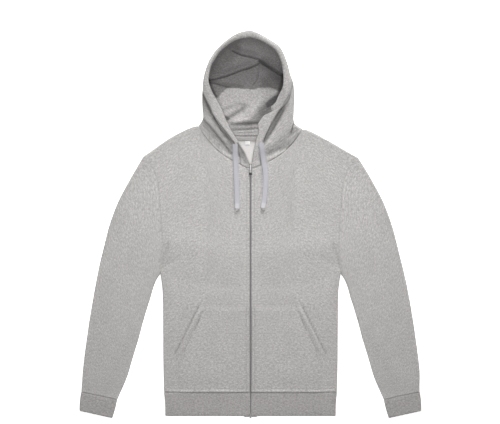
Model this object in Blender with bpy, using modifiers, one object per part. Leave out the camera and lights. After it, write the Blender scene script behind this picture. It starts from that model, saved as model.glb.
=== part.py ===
"""Zip-front hooded sweatshirt, laid flat on its back.

Metres, +Z up, +Y towards the hood, +X towards the wearer's left. The surface it lies on is z = 0,
and the origin is under the middle of the garment. Every cloth piece is an open sheet, given its
wall by Solidify: the two layers of the body and sleeves lie on each other and roll over at the
fold lines, and the hood lies open as a shallow bowl.
"""

import math
from collections import namedtuple

import bmesh
import bpy
from mathutils import Vector

# ---------------------------------------------------------------- driving dimensions
CLOTH_WALL = 0.0024        # loop-back sweatshirt knit
LAYER_GAP = 0.0032         # air between the front and the back layer
LAID_HEIGHT = 2 * CLOTH_WALL + LAYER_GAP
FOLD_RADIUS = LAID_HEIGHT / 2
SEAM_GAP = 0.0003          # between two pieces that are sewn together
ARMHOLE_CLEARANCE = 0.0013 # sleeve to body, measured across the body

HEM_SEAM_Y = -0.422        # hem rib to body
HEM_END_Y = -0.480
HEM_HALF_WIDTH = 0.2128
FRONT_EDGE_X = 0.0026      # each front stops here, beside the zip chain
FRONT_NECK_Y = 0.1463      # neck seam at the centre front
BACK_NECK_Y = 0.2138       # neck seam at the centre back
NECK_POINT = (0.130, 0.2438)      # neck seam at the shoulder fold
NECK_PULL = (0.085, 0.160)        # control point of the curved front neck seam
BACK_NECK_PULL = (0.070, 0.2125)  # control point of the curved back neck seam
SHOULDER_POINT = (0.2663, 0.170)
UNDERARM = (0.2250, -0.1225)

BAND_WIDTH = 0.025         # casing round the hood opening
CORD_WIDTH = 0.012
CORD_THICKNESS = 0.0034

POCKET_WALL = 0.0020
POCKET_TOP_Y = -0.2015
POCKET_TOP_CORNER_X = 0.127
POCKET_SIDE_CORNER = (0.1870, -0.320)
POCKET_FRONT_X = 0.0040
POCKET_SIDE_X = 0.1860

CHAIN_WIDTH = 0.0044
CHAIN_THICKNESS = 0.0026
CHAIN_BASE_Z = 0.0044
TAPE_OUTER_X = 0.016
TAPE_WALL = 0.0008
ZIP_END_Y = -0.4818
BOTTOM_STOP_LENGTH = 0.0118

SLIDER_Y = 0.1300          # the pull tab's hinge
HINGE_Z = 0.0111

NECK_TAPE_HALF_LENGTH = 0.058
NECK_TAPE_HALF_WIDTH = 0.004
LABEL_X = (-0.0140, -0.0010)
LABEL_HEIGHT = 0.0095
LABEL_DROP = 0.0045        # below the back neck seam
LABEL_WALL = 0.0006

# ---------------------------------------------------------------- tables
# Right half of the garment. "fold" is the outer fold of the sleeve, from the shoulder point down,
# and "under" is its inner fold, from the underarm. "bow" is how far the section bends to the body.
SleeveRow = namedtuple("SleeveRow", "fold_x fold_y under_x under_y bow")
SLEEVE = [
    SleeveRow(0.2663, 0.1700, 0.2250, -0.1225, 1.00),
    SleeveRow(0.2988, 0.1125, 0.2338, -0.1350, 0.55),
    SleeveRow(0.3288, 0.0550, 0.2438, -0.1550, 0.25),
    SleeveRow(0.3550, -0.0175, 0.2525, -0.1825, 0.10),
    SleeveRow(0.3738, -0.0875, 0.2613, -0.2075, 0.00),
    SleeveRow(0.3875, -0.1575, 0.2725, -0.2450, 0.00),
    SleeveRow(0.3988, -0.2250, 0.2838, -0.2875, 0.00),
    SleeveRow(0.4075, -0.2875, 0.2968, -0.3300, 0.00),
    SleeveRow(0.4150, -0.3500, 0.3113, -0.3800, 0.00),
    SleeveRow(0.4225, -0.4158, 0.3323, -0.4350, 0.00),
]
CUFF = [
    SleeveRow(0.4225, -0.4158, 0.3323, -0.4350, 0.00),
    SleeveRow(0.4258, -0.4400, 0.3375, -0.4580, 0.00),
    SleeveRow(0.4267, -0.4640, 0.3450, -0.4820, 0.00),
]

PlanPoint = namedtuple("PlanPoint", "x y")
SIDE_SEAM = [
    PlanPoint(0.2160, HEM_SEAM_Y),
    PlanPoint(0.2178, -0.340),
    PlanPoint(0.2185, -0.235),
    PlanPoint(0.2198, -0.165),
    PlanPoint(*UNDERARM),
]
ARMHOLE = [
    PlanPoint(*UNDERARM),
    PlanPoint(0.2205, -0.0500),
    PlanPoint(0.2235, 0.0125),
    PlanPoint(0.2268, 0.0625),
    PlanPoint(0.2310, 0.1025),
    PlanPoint(0.2425, 0.1375),
    PlanPoint(*SHOULDER_POINT),
]
SHOULDER = [
    PlanPoint(*NECK_POINT),
    PlanPoint(0.1513, 0.2380),
    PlanPoint(0.2013, 0.2120),
    PlanPoint(*SHOULDER_POINT),
]

# The hood, from the neck seam to the crown. "edge" is the opening, "rim" the outermost fold, and
# "back" the centre seam on the underside. "bend" moves the middle of the strip between edge and
# rim, "rise" is the height of the fold and "lip" the height of the opening's edge.
HoodRow = namedtuple("HoodRow", "edge_x edge_y rim_x rim_y bend_x bend_y back_y rise lip")
HOOD_LEFT = [
    HoodRow(-0.0026, 0.1463, -0.1300, 0.2438, -0.0187, -0.0351, 0.2138, 0.0080, 0.0080),
    HoodRow(-0.0060, 0.1625, -0.1240, 0.2513, 0.0150, -0.0350, 0.2200, 0.0095, 0.0090),
    HoodRow(-0.0163, 0.1850, -0.1188, 0.2610, 0.0030, -0.0200, 0.2300, 0.0185, 0.0130),
    HoodRow(-0.0338, 0.2125, -0.1180, 0.2725, 0.0000, -0.0080, 0.2450, 0.0230, 0.0160),
    HoodRow(-0.0538, 0.2450, -0.1198, 0.2900, 0.0000, 0.0000, 0.2650, 0.0270, 0.0190),
    HoodRow(-0.0738, 0.2900, -0.1205, 0.3150, 0.0000, 0.0000, 0.2950, 0.0320, 0.0260),
    HoodRow(-0.0963, 0.3375, -0.1195, 0.3375, 0.0000, 0.0000, 0.3275, 0.0380, 0.0360),
    HoodRow(-0.1038, 0.3650, -0.1163, 0.3675, 0.0000, 0.0000, 0.3550, 0.0430, 0.0430),
    HoodRow(-0.1000, 0.3950, -0.1080, 0.3970, 0.0000, 0.0000, 0.3780, 0.0460, 0.0460),
    HoodRow(-0.0900, 0.4150, -0.0973, 0.4190, 0.0000, 0.0000, 0.3950, 0.0470, 0.0470),
    HoodRow(-0.0738, 0.4370, -0.0800, 0.4415, 0.0000, 0.0000, 0.4080, 0.0480, 0.0480),
    HoodRow(-0.0500, 0.4560, -0.0545, 0.4640, 0.0000, 0.0000, 0.4180, 0.0480, 0.0480),
    HoodRow(-0.0263, 0.4665, -0.0280, 0.4785, 0.0000, 0.0000, 0.4240, 0.0480, 0.0480),
    HoodRow(-0.0030, 0.4700, -0.0030, 0.4820, 0.0000, 0.0000, 0.4270, 0.0480, 0.0480),
    HoodRow(0.0000, 0.4700, 0.0000, 0.4820, 0.0000, 0.0000, 0.4280, 0.0480, 0.0480),
]
HOOD_RIGHT = [
    HoodRow(0.0026, 0.1463, 0.1300, 0.2438, 0.0187, -0.0351, 0.2138, 0.0080, 0.0080),
    HoodRow(0.0045, 0.1610, 0.1225, 0.2478, -0.0100, -0.0300, 0.2200, 0.0095, 0.0090),
    HoodRow(0.0063, 0.1800, 0.1120, 0.2540, -0.0030, -0.0200, 0.2300, 0.0180, 0.0130),
    HoodRow(0.0125, 0.2075, 0.1075, 0.2650, 0.0000, -0.0080, 0.2450, 0.0230, 0.0160),
    HoodRow(0.0213, 0.2375, 0.1078, 0.2820, 0.0000, 0.0000, 0.2650, 0.0270, 0.0190),
    HoodRow(0.0363, 0.2700, 0.1088, 0.3010, 0.0000, 0.0000, 0.2900, 0.0310, 0.0230),
    HoodRow(0.0538, 0.2960, 0.1093, 0.3200, 0.0000, 0.0000, 0.3125, 0.0350, 0.0290),
    HoodRow(0.0675, 0.3200, 0.1088, 0.3375, 0.0000, 0.0000, 0.3330, 0.0390, 0.0350),
    HoodRow(0.0788, 0.3475, 0.1063, 0.3550, 0.0000, 0.0000, 0.3550, 0.0430, 0.0410),
    HoodRow(0.0820, 0.3750, 0.0988, 0.3770, 0.0000, 0.0000, 0.3780, 0.0450, 0.0450),
    HoodRow(0.0788, 0.4050, 0.0895, 0.4090, 0.0000, 0.0000, 0.3950, 0.0470, 0.0470),
    HoodRow(0.0650, 0.4350, 0.0740, 0.4420, 0.0000, 0.0000, 0.4080, 0.0480, 0.0480),
    HoodRow(0.0435, 0.4520, 0.0490, 0.4610, 0.0000, 0.0000, 0.4180, 0.0480, 0.0480),
    HoodRow(0.0210, 0.4640, 0.0250, 0.4740, 0.0000, 0.0000, 0.4240, 0.0480, 0.0480),
    HoodRow(0.0030, 0.4700, 0.0030, 0.4820, 0.0000, 0.0000, 0.4270, 0.0480, 0.0480),
    HoodRow(0.0000, 0.4700, 0.0000, 0.4820, 0.0000, 0.0000, 0.4280, 0.0480, 0.0480),
]

# Folds of the hood's back layer, which lies on the surface: soft ridges between two plan points.
FoldRow = namedtuple("FoldRow", "start_x start_y end_x end_y height half_width")
HOOD_FOLDS = [
    FoldRow(-0.085, 0.350, 0.060, 0.338, 0.0120, 0.030),   # edge of the crown's slack
    FoldRow(-0.055, 0.268, -0.020, 0.300, 0.0060, 0.016),  # diagonal on the left
    FoldRow(0.055, 0.318, 0.018, 0.262, 0.0070, 0.016),    # diagonal on the right
]

# Free stretch of each drawcord, down its middle line, from the casing to the tip.
CordPoint = namedtuple("CordPoint", "x y z")
CORD_LEFT = [
    CordPoint(-0.0385, 0.2010, 0.0168),
    CordPoint(-0.0381, 0.1900, 0.0152),
    CordPoint(-0.0377, 0.1760, 0.0124),
    CordPoint(-0.0371, 0.1600, 0.0107),
    CordPoint(-0.0364, 0.1420, 0.0102),
    CordPoint(-0.0356, 0.1200, 0.0101),
    CordPoint(-0.0346, 0.0980, 0.0101),
    CordPoint(-0.0335, 0.0760, 0.0101),
    CordPoint(-0.0326, 0.0560, 0.0101),
]
CORD_RIGHT = [
    CordPoint(0.0300, 0.2030, 0.0176),
    CordPoint(0.0320, 0.1900, 0.0162),
    CordPoint(0.0340, 0.1740, 0.0124),
    CordPoint(0.0362, 0.1560, 0.0105),
    CordPoint(0.0380, 0.1380, 0.0102),
    CordPoint(0.0386, 0.1180, 0.0101),
    CordPoint(0.0376, 0.0960, 0.0101),
    CordPoint(0.0350, 0.0740, 0.0101),
    CordPoint(0.0325, 0.0570, 0.0101),
]
CORD_STEPS = 18
CORD_TIP_LENGTH = 0.0125
CORD_TIP_HALF_WIDTH = 0.0062
CORD_TIP_Z = (-0.0016, 0.0020)      # its underside and top, from the cord's middle line

# Solids of the slider and of the pull tab. Their y is measured from the pull tab's hinge.
Block = namedtuple("Block", "name x_low x_high y_low y_high z_low z_high")
SLIDER_PLATE = Block("zip_slider", -0.0038, 0.0038, -0.0055, 0.0055, 0.0083, 0.0095)
SLIDER_BLOCKS = [
    Block("plate_under", -0.0038, 0.0038, -0.0055, 0.0055, 0.0030, 0.0040),
    Block("post", -0.0012, 0.0012, 0.0025, 0.0050, 0.0035, 0.0089),
    Block("foot_low", -0.0009, 0.0009, -0.0048, -0.0034, 0.0089, 0.0136),
    Block("foot_high", -0.0009, 0.0009, 0.0034, 0.0048, 0.0089, 0.0136),
    Block("bridge", -0.0009, 0.0009, -0.0046, 0.0046, 0.0125, 0.0135),
]
PULL_TAG = Block("zip_pull", -0.0028, 0.0028, 0.0062, 0.0220, 0.0105, 0.0117)
PULL_BLOCKS = [
    Block("bar", -0.0026, 0.0026, -0.0006, 0.0006, 0.01056, 0.01164),
    Block("arm_l", -0.0025, -0.0014, -0.0005, 0.0072, 0.01062, 0.01158),
    Block("arm_r", 0.0014, 0.0025, -0.0005, 0.0072, 0.01062, 0.01158),
]

# ---------------------------------------------------------------- finishes
Finish = namedtuple("Finish", "red green blue roughness metallic")
FINISHES = {
    "grey_knit": Finish(0.50, 0.49, 0.48, 0.90, 0.0),
    "grey_rib": Finish(0.34, 0.33, 0.32, 0.92, 0.0),
    "grey_tape": Finish(0.38, 0.37, 0.36, 0.85, 0.0),
    "grey_cord": Finish(0.53, 0.53, 0.60, 0.80, 0.0),
    "white_label": Finish(0.85, 0.85, 0.84, 0.60, 0.0),
    "zip_plastic": Finish(0.22, 0.22, 0.22, 0.45, 0.0),
    "nickel": Finish(0.60, 0.59, 0.57, 0.30, 1.0),
    "tip_plastic": Finish(0.75, 0.75, 0.76, 0.45, 0.0),
}


def clear_scene():
    for obj in list(bpy.data.objects):
        bpy.data.objects.remove(obj, do_unlink=True)


def material(name):
    found = bpy.data.materials.get(name)
    if found:
        return found
    finish = FINISHES[name]
    made = bpy.data.materials.new(name)
    made.use_nodes = True
    shader = made.node_tree.nodes["Principled BSDF"]
    shader.inputs["Base Color"].default_value = (finish.red, finish.green, finish.blue, 1.0)
    shader.inputs["Roughness"].default_value = finish.roughness
    shader.inputs["Metallic"].default_value = finish.metallic
    return made


def add_object(name, mesh, finish, collection):
    obj = bpy.data.objects.new(name, mesh)
    mesh.materials.append(material(finish))
    mesh.shade_smooth()
    collection.objects.link(obj)
    return obj


# ---------------------------------------------------------------- plan curves
def smooth_path(points):
    """A function of 0..1, evenly along a Catmull-Rom curve through the plan points."""
    knots = [Vector((p[0], p[1])) for p in points]
    ends = [2 * knots[0] - knots[1], *knots, 2 * knots[-1] - knots[-2]]
    lengths = [0.0]
    for here, after in zip(knots, knots[1:]):
        lengths.append(lengths[-1] + (after - here).length)

    def at(share):
        reach = min(max(share, 0.0), 1.0) * lengths[-1]
        span = max(k for k in range(len(knots) - 1) if lengths[k] <= reach or k == 0)
        t = (reach - lengths[span]) / (lengths[span + 1] - lengths[span])
        before, here, after, beyond = ends[span:span + 4]
        return 0.5 * (
            2 * here
            + (after - before) * t
            + (2 * before - 5 * here + 4 * after - beyond) * t ** 2
            + (3 * here - before - 3 * after + beyond) * t ** 3
        )

    return at


def straight(start, end):
    first, last = Vector(start), Vector(end)
    return lambda share: first.lerp(last, share)


def bent(start, pull, end):
    """A quadratic curve from start to end, drawn towards the control point."""
    first, control, last = Vector(start), Vector(pull), Vector(end)
    return lambda t: first * (1 - t) ** 2 + control * (2 * t * (1 - t)) + last * t ** 2


def joined(first, share, second):
    """First up to the given share, then second, so that a corner falls on a known share."""
    return lambda t: first(t / share) if t < share else second((t - share) / (1 - share))


def mirrored(path):
    def at(share):
        point = path(share)
        return Vector((-point.x, point.y))

    return at


def coons(bottom, top, inner, outer):
    """The plan point at (across, along) of a patch between four boundary curves."""

    def at(across, along):
        ruled_along = bottom(across) * (1 - along) + top(across) * along
        ruled_across = inner(along) * (1 - across) + outer(along) * across
        corners = (
            bottom(0) * (1 - across) * (1 - along)
            + bottom(1) * across * (1 - along)
            + top(0) * (1 - across) * along
            + top(1) * across * along
        )
        return ruled_along + ruled_across - corners

    return at


# ---------------------------------------------------------------- the laid layers
def arm_fold(rows):
    """The outer fold of a sleeve or cuff, from the top down."""
    return smooth_path([(row.fold_x, row.fold_y) for row in rows])


def arm_under(rows):
    return smooth_path([(row.under_x, row.under_y) for row in rows])


def sampled(path, steps=60):
    return [path(k / steps) for k in range(steps + 1)]


def fold_lines():
    """The plan lines where the top layer rolls over into the bottom layer, on the right half."""
    shoulder = sampled(smooth_path(SHOULDER))
    arm = sampled(arm_fold(SLEEVE)) + sampled(arm_fold(CUFF))[1:]
    under = list(reversed(sampled(arm_under(SLEEVE)) + sampled(arm_under(CUFF))[1:]))
    side = list(reversed(sampled(smooth_path(SIDE_SEAM))))
    hem = [Vector((HEM_HALF_WIDTH, HEM_SEAM_Y - 0.008)), Vector((HEM_HALF_WIDTH, HEM_END_Y - 0.02))]
    return [shoulder + arm[1:], under + side[1:] + hem]


FOLD_LINES = fold_lines()
SEAM_ROLL = (14, 18, 40, 65, 90)    # angles of a fold's columns where it ends in a seam
WHOLE_ROLL = (0, 30, 60, 90)       # and where the cloth goes on round the fold


def distance_to_fold(x, y):
    point = Vector((abs(x), y))
    nearest = 1.0
    for line in FOLD_LINES:
        for start, end in zip(line, line[1:]):
            run = end - start
            share = min(max((point - start).dot(run) / run.length_squared, 0.0), 1.0)
            nearest = min(nearest, (point - start - run * share).length)
    return nearest


def laid(plan, layer):
    """The outer surface over a plan point: layer 1 is the top layer and -1 the bottom one."""
    inset = FOLD_RADIUS - min(distance_to_fold(plan.x, plan.y), FOLD_RADIUS)
    rounding = math.sqrt(max(FOLD_RADIUS ** 2 - inset ** 2, 0.0))
    return Vector((plan.x, plan.y, FOLD_RADIUS + layer * rounding))


def shares(inner_steps, span, ends_in_fold=True):
    """Grid shares 0..1 over a length: even steps, and close ones where the cloth rolls over."""
    roll = [FOLD_RADIUS * (1 - math.cos(math.radians(angle))) / span for angle in SEAM_ROLL]
    seam = SEAM_GAP / 2 / span
    high = [1 - step for step in reversed(roll)] if ends_in_fold else [1 - seam]
    inside = [seam + (high[0] - seam) * k / inner_steps for k in range(1, inner_steps)]
    return [seam] + inside + high


def cloth(name, across, along, point, finish, collection, wall=CLOTH_WALL, flip=False, ring=False):
    """An open sheet whose vertices are point(across share, along share), thickened inwards."""
    mesh = bpy.data.meshes.new(name)
    sheet = bmesh.new()
    bmesh.ops.create_grid(sheet, x_segments=len(across) - 1, y_segments=len(along) - 1, size=0.5)
    for vert in sheet.verts:
        column = round((vert.co.x + 0.5) * (len(across) - 1))
        row = round((vert.co.y + 0.5) * (len(along) - 1))
        vert.co = point(across[column], along[row])
    if ring:
        bmesh.ops.remove_doubles(sheet, verts=sheet.verts, dist=1e-6)
    if flip:
        bmesh.ops.reverse_faces(sheet, faces=sheet.faces)
    sheet.to_mesh(mesh)
    sheet.free()
    obj = add_object(name, mesh, finish, collection)
    shell = obj.modifiers.new("wall", "SOLIDIFY")
    shell.thickness = wall
    shell.offset = -1.0
    shell.use_even_offset = True
    return obj


# ---------------------------------------------------------------- body
UNDERARM_SHARE = 0.5       # height share of the underarm on the body's outer edge
NECK_SHARE = 0.488         # width share of the neck point on a front's top edge


def body_side():
    return joined(smooth_path(SIDE_SEAM), UNDERARM_SHARE, smooth_path(ARMHOLE))


def front_patch():
    """Plan patch of the right-hand front: across from the zip to the side, along from the hem up."""
    top = joined(FRONT_NECK, NECK_SHARE, smooth_path(SHOULDER))
    bottom = straight((FRONT_EDGE_X, HEM_SEAM_Y), SIDE_SEAM[0])
    inner = straight((FRONT_EDGE_X, HEM_SEAM_Y), (FRONT_EDGE_X, FRONT_NECK_Y))
    return coons(bottom, top, inner, body_side())


def back_patch():
    """Plan patch of the back, from the left side to the right."""
    half_top = joined(BACK_NECK, NECK_SHARE, smooth_path(SHOULDER))

    def top(share):
        point = half_top(abs(2 * share - 1))
        return Vector((math.copysign(point.x, share - 0.5), point.y))

    bottom = straight((-SIDE_SEAM[0].x, HEM_SEAM_Y), SIDE_SEAM[0])
    return coons(bottom, top, mirrored(body_side()), body_side())


FRONT_SPAN = 0.218         # width and height that the grid shares of a front refer to
BODY_HEIGHT = 0.62
FRONT_NECK = bent((FRONT_EDGE_X, FRONT_NECK_Y), NECK_PULL, NECK_POINT)
BACK_NECK = bent((0.0, BACK_NECK_Y), BACK_NECK_PULL, NECK_POINT)


def share_at(curve, length):
    """The share of a plan curve that lies the given length from its start."""
    steps, reach = 400, 0.0
    for k in range(steps):
        reach += (curve((k + 1) / steps) - curve(k / steps)).length
        if reach >= length:
            return (k + 1) / steps
    return 1.0


def curve_length(curve):
    return sum((curve((k + 1) / 100) - curve(k / 100)).length for k in range(100))


def neck_stops(curve, first, steps):
    """Shares of a neck seam where both the body and the hood have a column, up to the fold."""
    last = share_at(curve, curve_length(curve) - FOLD_RADIUS)
    return [first + (last - first) * k / steps for k in range(steps + 1)]


ARMHOLE_CURVE = smooth_path(ARMHOLE)
ARMHOLE_STEPS = 6
BAND_SHARE = share_at(FRONT_NECK, BAND_WIDTH)
FRONT_STOPS = neck_stops(FRONT_NECK, BAND_SHARE, 6)
BACK_STOPS = neck_stops(BACK_NECK, 0.0, 6)


def body_columns(neck_shares):
    """Grid shares of a half body: the neck seam's columns, then the shoulder's to the side fold."""
    shoulder = shares(4, FRONT_SPAN * (1 - NECK_SHARE))
    outer = [NECK_SHARE + (1 - NECK_SHARE) * share for share in shoulder[1:]]
    return [NECK_SHARE * share for share in neck_shares] + [NECK_SHARE] + outer


def armhole_stops():
    """Shares of the armhole where body and sleeve both have a row, up to the shoulder's fold."""
    last = share_at(ARMHOLE_CURVE, curve_length(ARMHOLE_CURVE) - FOLD_RADIUS)
    return [last * k / ARMHOLE_STEPS for k in range(ARMHOLE_STEPS + 1)]


def body_rows():
    """Grid shares up a body panel: to the underarm, up the armhole, then over the shoulder fold."""
    low = [SEAM_GAP / 2 / BODY_HEIGHT] + [UNDERARM_SHARE * k / 4 for k in range(1, 4)]
    arm = [UNDERARM_SHARE + (1 - UNDERARM_SHARE) * stop for stop in armhole_stops()]
    high = shares(4, BODY_HEIGHT)[-len(SEAM_ROLL):]
    return low + arm + [share for share in high if share > arm[-1] + 0.0005]


def mirrored_shares(half):
    """Shares of a whole width from those of its right half."""
    right = [0.5 + share / 2 for share in half]
    left = [1 - share for share in reversed(right)]
    return left + right[1:]


def back_panel(collection):
    patch = back_patch()
    return cloth("back_panel", mirrored_shares(body_columns(BACK_STOPS)), body_rows(),
                 lambda a, b: laid(patch(a, b), -1), "grey_knit", collection, flip=True)


def front_panel(side, collection):
    patch = front_patch()

    def point(across, along):
        place = patch(across, along)
        return laid(Vector((side * place.x, place.y)), 1)

    band = [BAND_SHARE * k / 3 for k in range(3)]
    name = "front_panel_r" if side > 0 else "front_panel_l"
    return cloth(name, body_columns(band + FRONT_STOPS), body_rows(),
                 point, "grey_knit", collection, flip=side < 0)


def hem_rib(collection):
    """The waistband: one strip that wraps from the zip round both sides, open at the front."""
    steps = 6
    turn_x = HEM_HALF_WIDTH - FOLD_RADIUS
    corner = [math.radians(30 * k) for k in range(7)]
    path = [(FRONT_EDGE_X + (turn_x - FRONT_EDGE_X) * k / steps, LAID_HEIGHT) for k in range(steps)]
    path += [(turn_x + FOLD_RADIUS * math.sin(a), FOLD_RADIUS + FOLD_RADIUS * math.cos(a))
             for a in corner]
    path += [(turn_x * (steps - k) / steps, 0.0) for k in range(1, steps + 1)]
    section = path + [(-x, z) for x, z in reversed(path[:-1])]
    across = [k / (len(section) - 1) for k in range(len(section))]
    top = HEM_SEAM_Y - SEAM_GAP / 2

    def point(share, along):
        x, z = section[round(share * (len(section) - 1))]
        flare = (SIDE_SEAM[0].x - HEM_HALF_WIDTH) * max(0.0, 2 * along - 1)
        return Vector((x * (1 + flare / HEM_HALF_WIDTH), HEM_END_Y + (top - HEM_END_Y) * along, z))

    return cloth("hem_rib", across, [0.0, 0.5, 1.0], point, "grey_rib", collection)


# ---------------------------------------------------------------- sleeves
SLEEVE_LENGTH = 0.58
CUFF_LENGTH = 0.05


def across_stops(flat_stops, width):
    """Shares across a flattened tube: close ones on both rolled sides, and the flat part's own."""
    roll = [FOLD_RADIUS * (1 - math.cos(math.radians(angle))) / width for angle in WHOLE_ROLL]
    flat = [roll[-1] + (1 - 2 * roll[-1]) * stop for stop in flat_stops]
    return roll + flat + [1 - step for step in reversed(roll)]


def arm_sections(rows, downs, flat_stops, side):
    """Closed sections down a flattened tube: over the top layer and back along the bottom."""
    folds, unders = arm_fold(rows), arm_under(rows)
    sections = []
    for down in downs:
        index = min(int(down * (len(rows) - 1)), len(rows) - 2)
        part = down * (len(rows) - 1) - index
        bow = rows[index].bow * (1 - part) + rows[index + 1].bow * part
        fold, under = folds(down), unders(down)
        section = []
        for across in across_stops(flat_stops, (under - fold).length):
            plan = fold.lerp(under, across)
            if bow:
                chord = Vector(SHOULDER_POINT).lerp(Vector(UNDERARM), across)
                plan += (ARMHOLE_CURVE(1 - across) - chord) * bow
            if down == 0.0:
                plan.x += ARMHOLE_CLEARANCE
            section.append(Vector((side * plan.x, plan.y)))
        top = [laid(plan, 1) for plan in section]
        top[0].z = top[-1].z = FOLD_RADIUS
        bottom = [laid(plan, -1) for plan in reversed(section[1:-1])]
        sections.append(top + bottom + top[:1])
    return sections


def sleeve(side, collection):
    span = curve_length(ARMHOLE_CURVE)
    flat = [1 - stop for stop in reversed(armhole_stops()[1:-1])]
    flat = [(stop * span - FOLD_RADIUS) / (span - 2 * FOLD_RADIUS) for stop in flat]
    downs = [k / 11 for k in range(12)]
    downs[-1] -= SEAM_GAP / 2 / SLEEVE_LENGTH
    return strip("sleeve_r" if side > 0 else "sleeve_l", arm_sections(SLEEVE, downs, flat, side),
                 "grey_knit", collection, side < 0, ring=True)


def cuff(side, collection):
    downs = [SEAM_GAP / CUFF_LENGTH, 0.33, 0.67, 1.0]
    flat = [k / 4 for k in range(1, 4)]
    return strip("cuff_r" if side > 0 else "cuff_l", arm_sections(CUFF, downs, flat, side),
                 "grey_rib", collection, side < 0, ring=True)


# ---------------------------------------------------------------- hood
SECTION_STEPS = 48         # points of each half of a section, which crowd towards the rim
SECTION_CROWDING = 1.6
FOOT_SHARE = 0.85          # width of the rolled foot, as a share of half the rise
NECK_BLEND = 0.03          # the neck seam's curve fades out of the sections over this height
FOLD_RUN = 0.05            # and the back layer's folds fade in over this much from the rim
CUT_SAMPLES = 240
BEND_WEIGHT = 0.03         # metres of straight run that one radian of bend counts for
BAND_GAP = 3 * SEAM_GAP    # along the sections, which cross the casing's seam at a slant
SEAM_STRIP = 0.001         # a narrow column beside a seam keeps its rim square to the cloth
SEWN = Vector((0.0, 2.5 * SEAM_GAP, 0.0))   # the hood stands off the body's neck by this


def fold_height(x, y):
    """How high the hood's back layer stands off the surface on its folds."""
    height = 0.0
    for fold in HOOD_FOLDS:
        start = Vector((fold.start_x, fold.start_y))
        run = Vector((fold.end_x, fold.end_y)) - start
        share = min(max((Vector((x, y)) - start).dot(run) / run.length_squared, 0.0), 1.0)
        away = (Vector((x, y)) - start - run * share).length / fold.half_width
        height = max(height, fold.height * math.cos(min(away, 1.0) * math.pi / 2) ** 2)
    return height


def hood_section(row, side):
    """The outer surface along one row: from the opening, over the fold, to the centre seam."""
    edge = Vector((row.edge_x, row.edge_y))
    rim = Vector((row.rim_x, row.rim_y))
    back = Vector((side * SEAM_GAP / 2, row.back_y))
    pull = (edge + rim) / 2 + Vector((row.bend_x, row.bend_y))
    over = bent(rim, pull, edge)
    neck_drop = max(0.0, 1 - (row.back_y - BACK_NECK_Y) / NECK_BLEND)
    back_pull = rim.lerp(back, 0.5).lerp(
        Vector((side * BACK_NECK_PULL[0], BACK_NECK_PULL[1])), neck_drop)
    under = bent(rim, back_pull, back)
    width = (edge - rim).length
    roll = min(row.rise / 2, width)
    points = []
    for step in range(SECTION_STEPS + 1):
        share = (1 - step / SECTION_STEPS) ** SECTION_CROWDING
        reach = share * width
        if reach < roll:
            height = math.sqrt(max(1 - (1 - reach / roll) ** 2, 0.0))
            level = row.rise / 2 * (1 + height)
        else:
            fall = (reach - roll) / max(width - roll, 1e-6)
            level = row.rise + (row.lip - row.rise) * fall ** 2 * (3 - 2 * fall)
        plan = over(share)
        points.append(Vector((plan.x, plan.y, level)))
    depth = (back - rim).length
    foot = FOOT_SHARE * row.rise / 2
    for step in range(1, SECTION_STEPS + 1):
        share = (step / SECTION_STEPS) ** SECTION_CROWDING
        plan = under(share)
        inset = max(1 - share * depth / foot, 0.0)
        level = row.rise / 2 * (1 - math.sqrt(max(1 - inset ** 2, 0.0)))
        clear = min(share * depth / FOLD_RUN, 1.0)
        level += fold_height(plan.x, plan.y) * clear
        points.append(Vector((plan.x, plan.y, level)))
    return points


def cut(points, start, end, count):
    """count + 1 points along a polyline from one arc length to another, closer where it turns."""
    lengths = [0.0]
    for here, after in zip(points, points[1:]):
        lengths.append(lengths[-1] + (after - here).length)
    end = lengths[-1] if end is None else end

    def at(reach):
        for k in range(len(points) - 1):
            if reach <= lengths[k + 1]:
                span = max(lengths[k + 1] - lengths[k], 1e-9)
                return points[k].lerp(points[k + 1], (reach - lengths[k]) / span)
        return points[-1].copy()

    samples = [at(start + (end - start) * k / CUT_SAMPLES) for k in range(CUT_SAMPLES + 1)]
    weights = [0.0]
    for k in range(CUT_SAMPLES):
        step = samples[k + 1] - samples[k]
        before = samples[k] - samples[k - 1] if k else step
        turn = step.angle(before, 0.0) if k else 0.0
        weights.append(weights[-1] + step.length + BEND_WEIGHT * turn)
    chosen = []
    for k in range(count + 1):
        target = weights[-1] * k / count
        index = next(i for i, weight in enumerate(weights) if weight >= target - 1e-12)
        chosen.append(samples[index])
    return chosen


def strip(name, sections, finish, collection, flip, ring=False):
    """A sheet through ready sections, each with the same number of points."""
    columns = len(sections[0]) - 1
    rows = len(sections) - 1
    across = [k / columns for k in range(columns + 1)]
    along = [k / rows for k in range(rows + 1)]
    return cloth(name, across, along,
                 lambda a, b: sections[round(b * rows)][round(a * columns)],
                 finish, collection, flip=flip, ring=ring)


def neck_point(curve, share, side, layer):
    plan = curve(share)
    return laid(Vector((side * plan.x, plan.y)), layer) + SEWN


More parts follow.
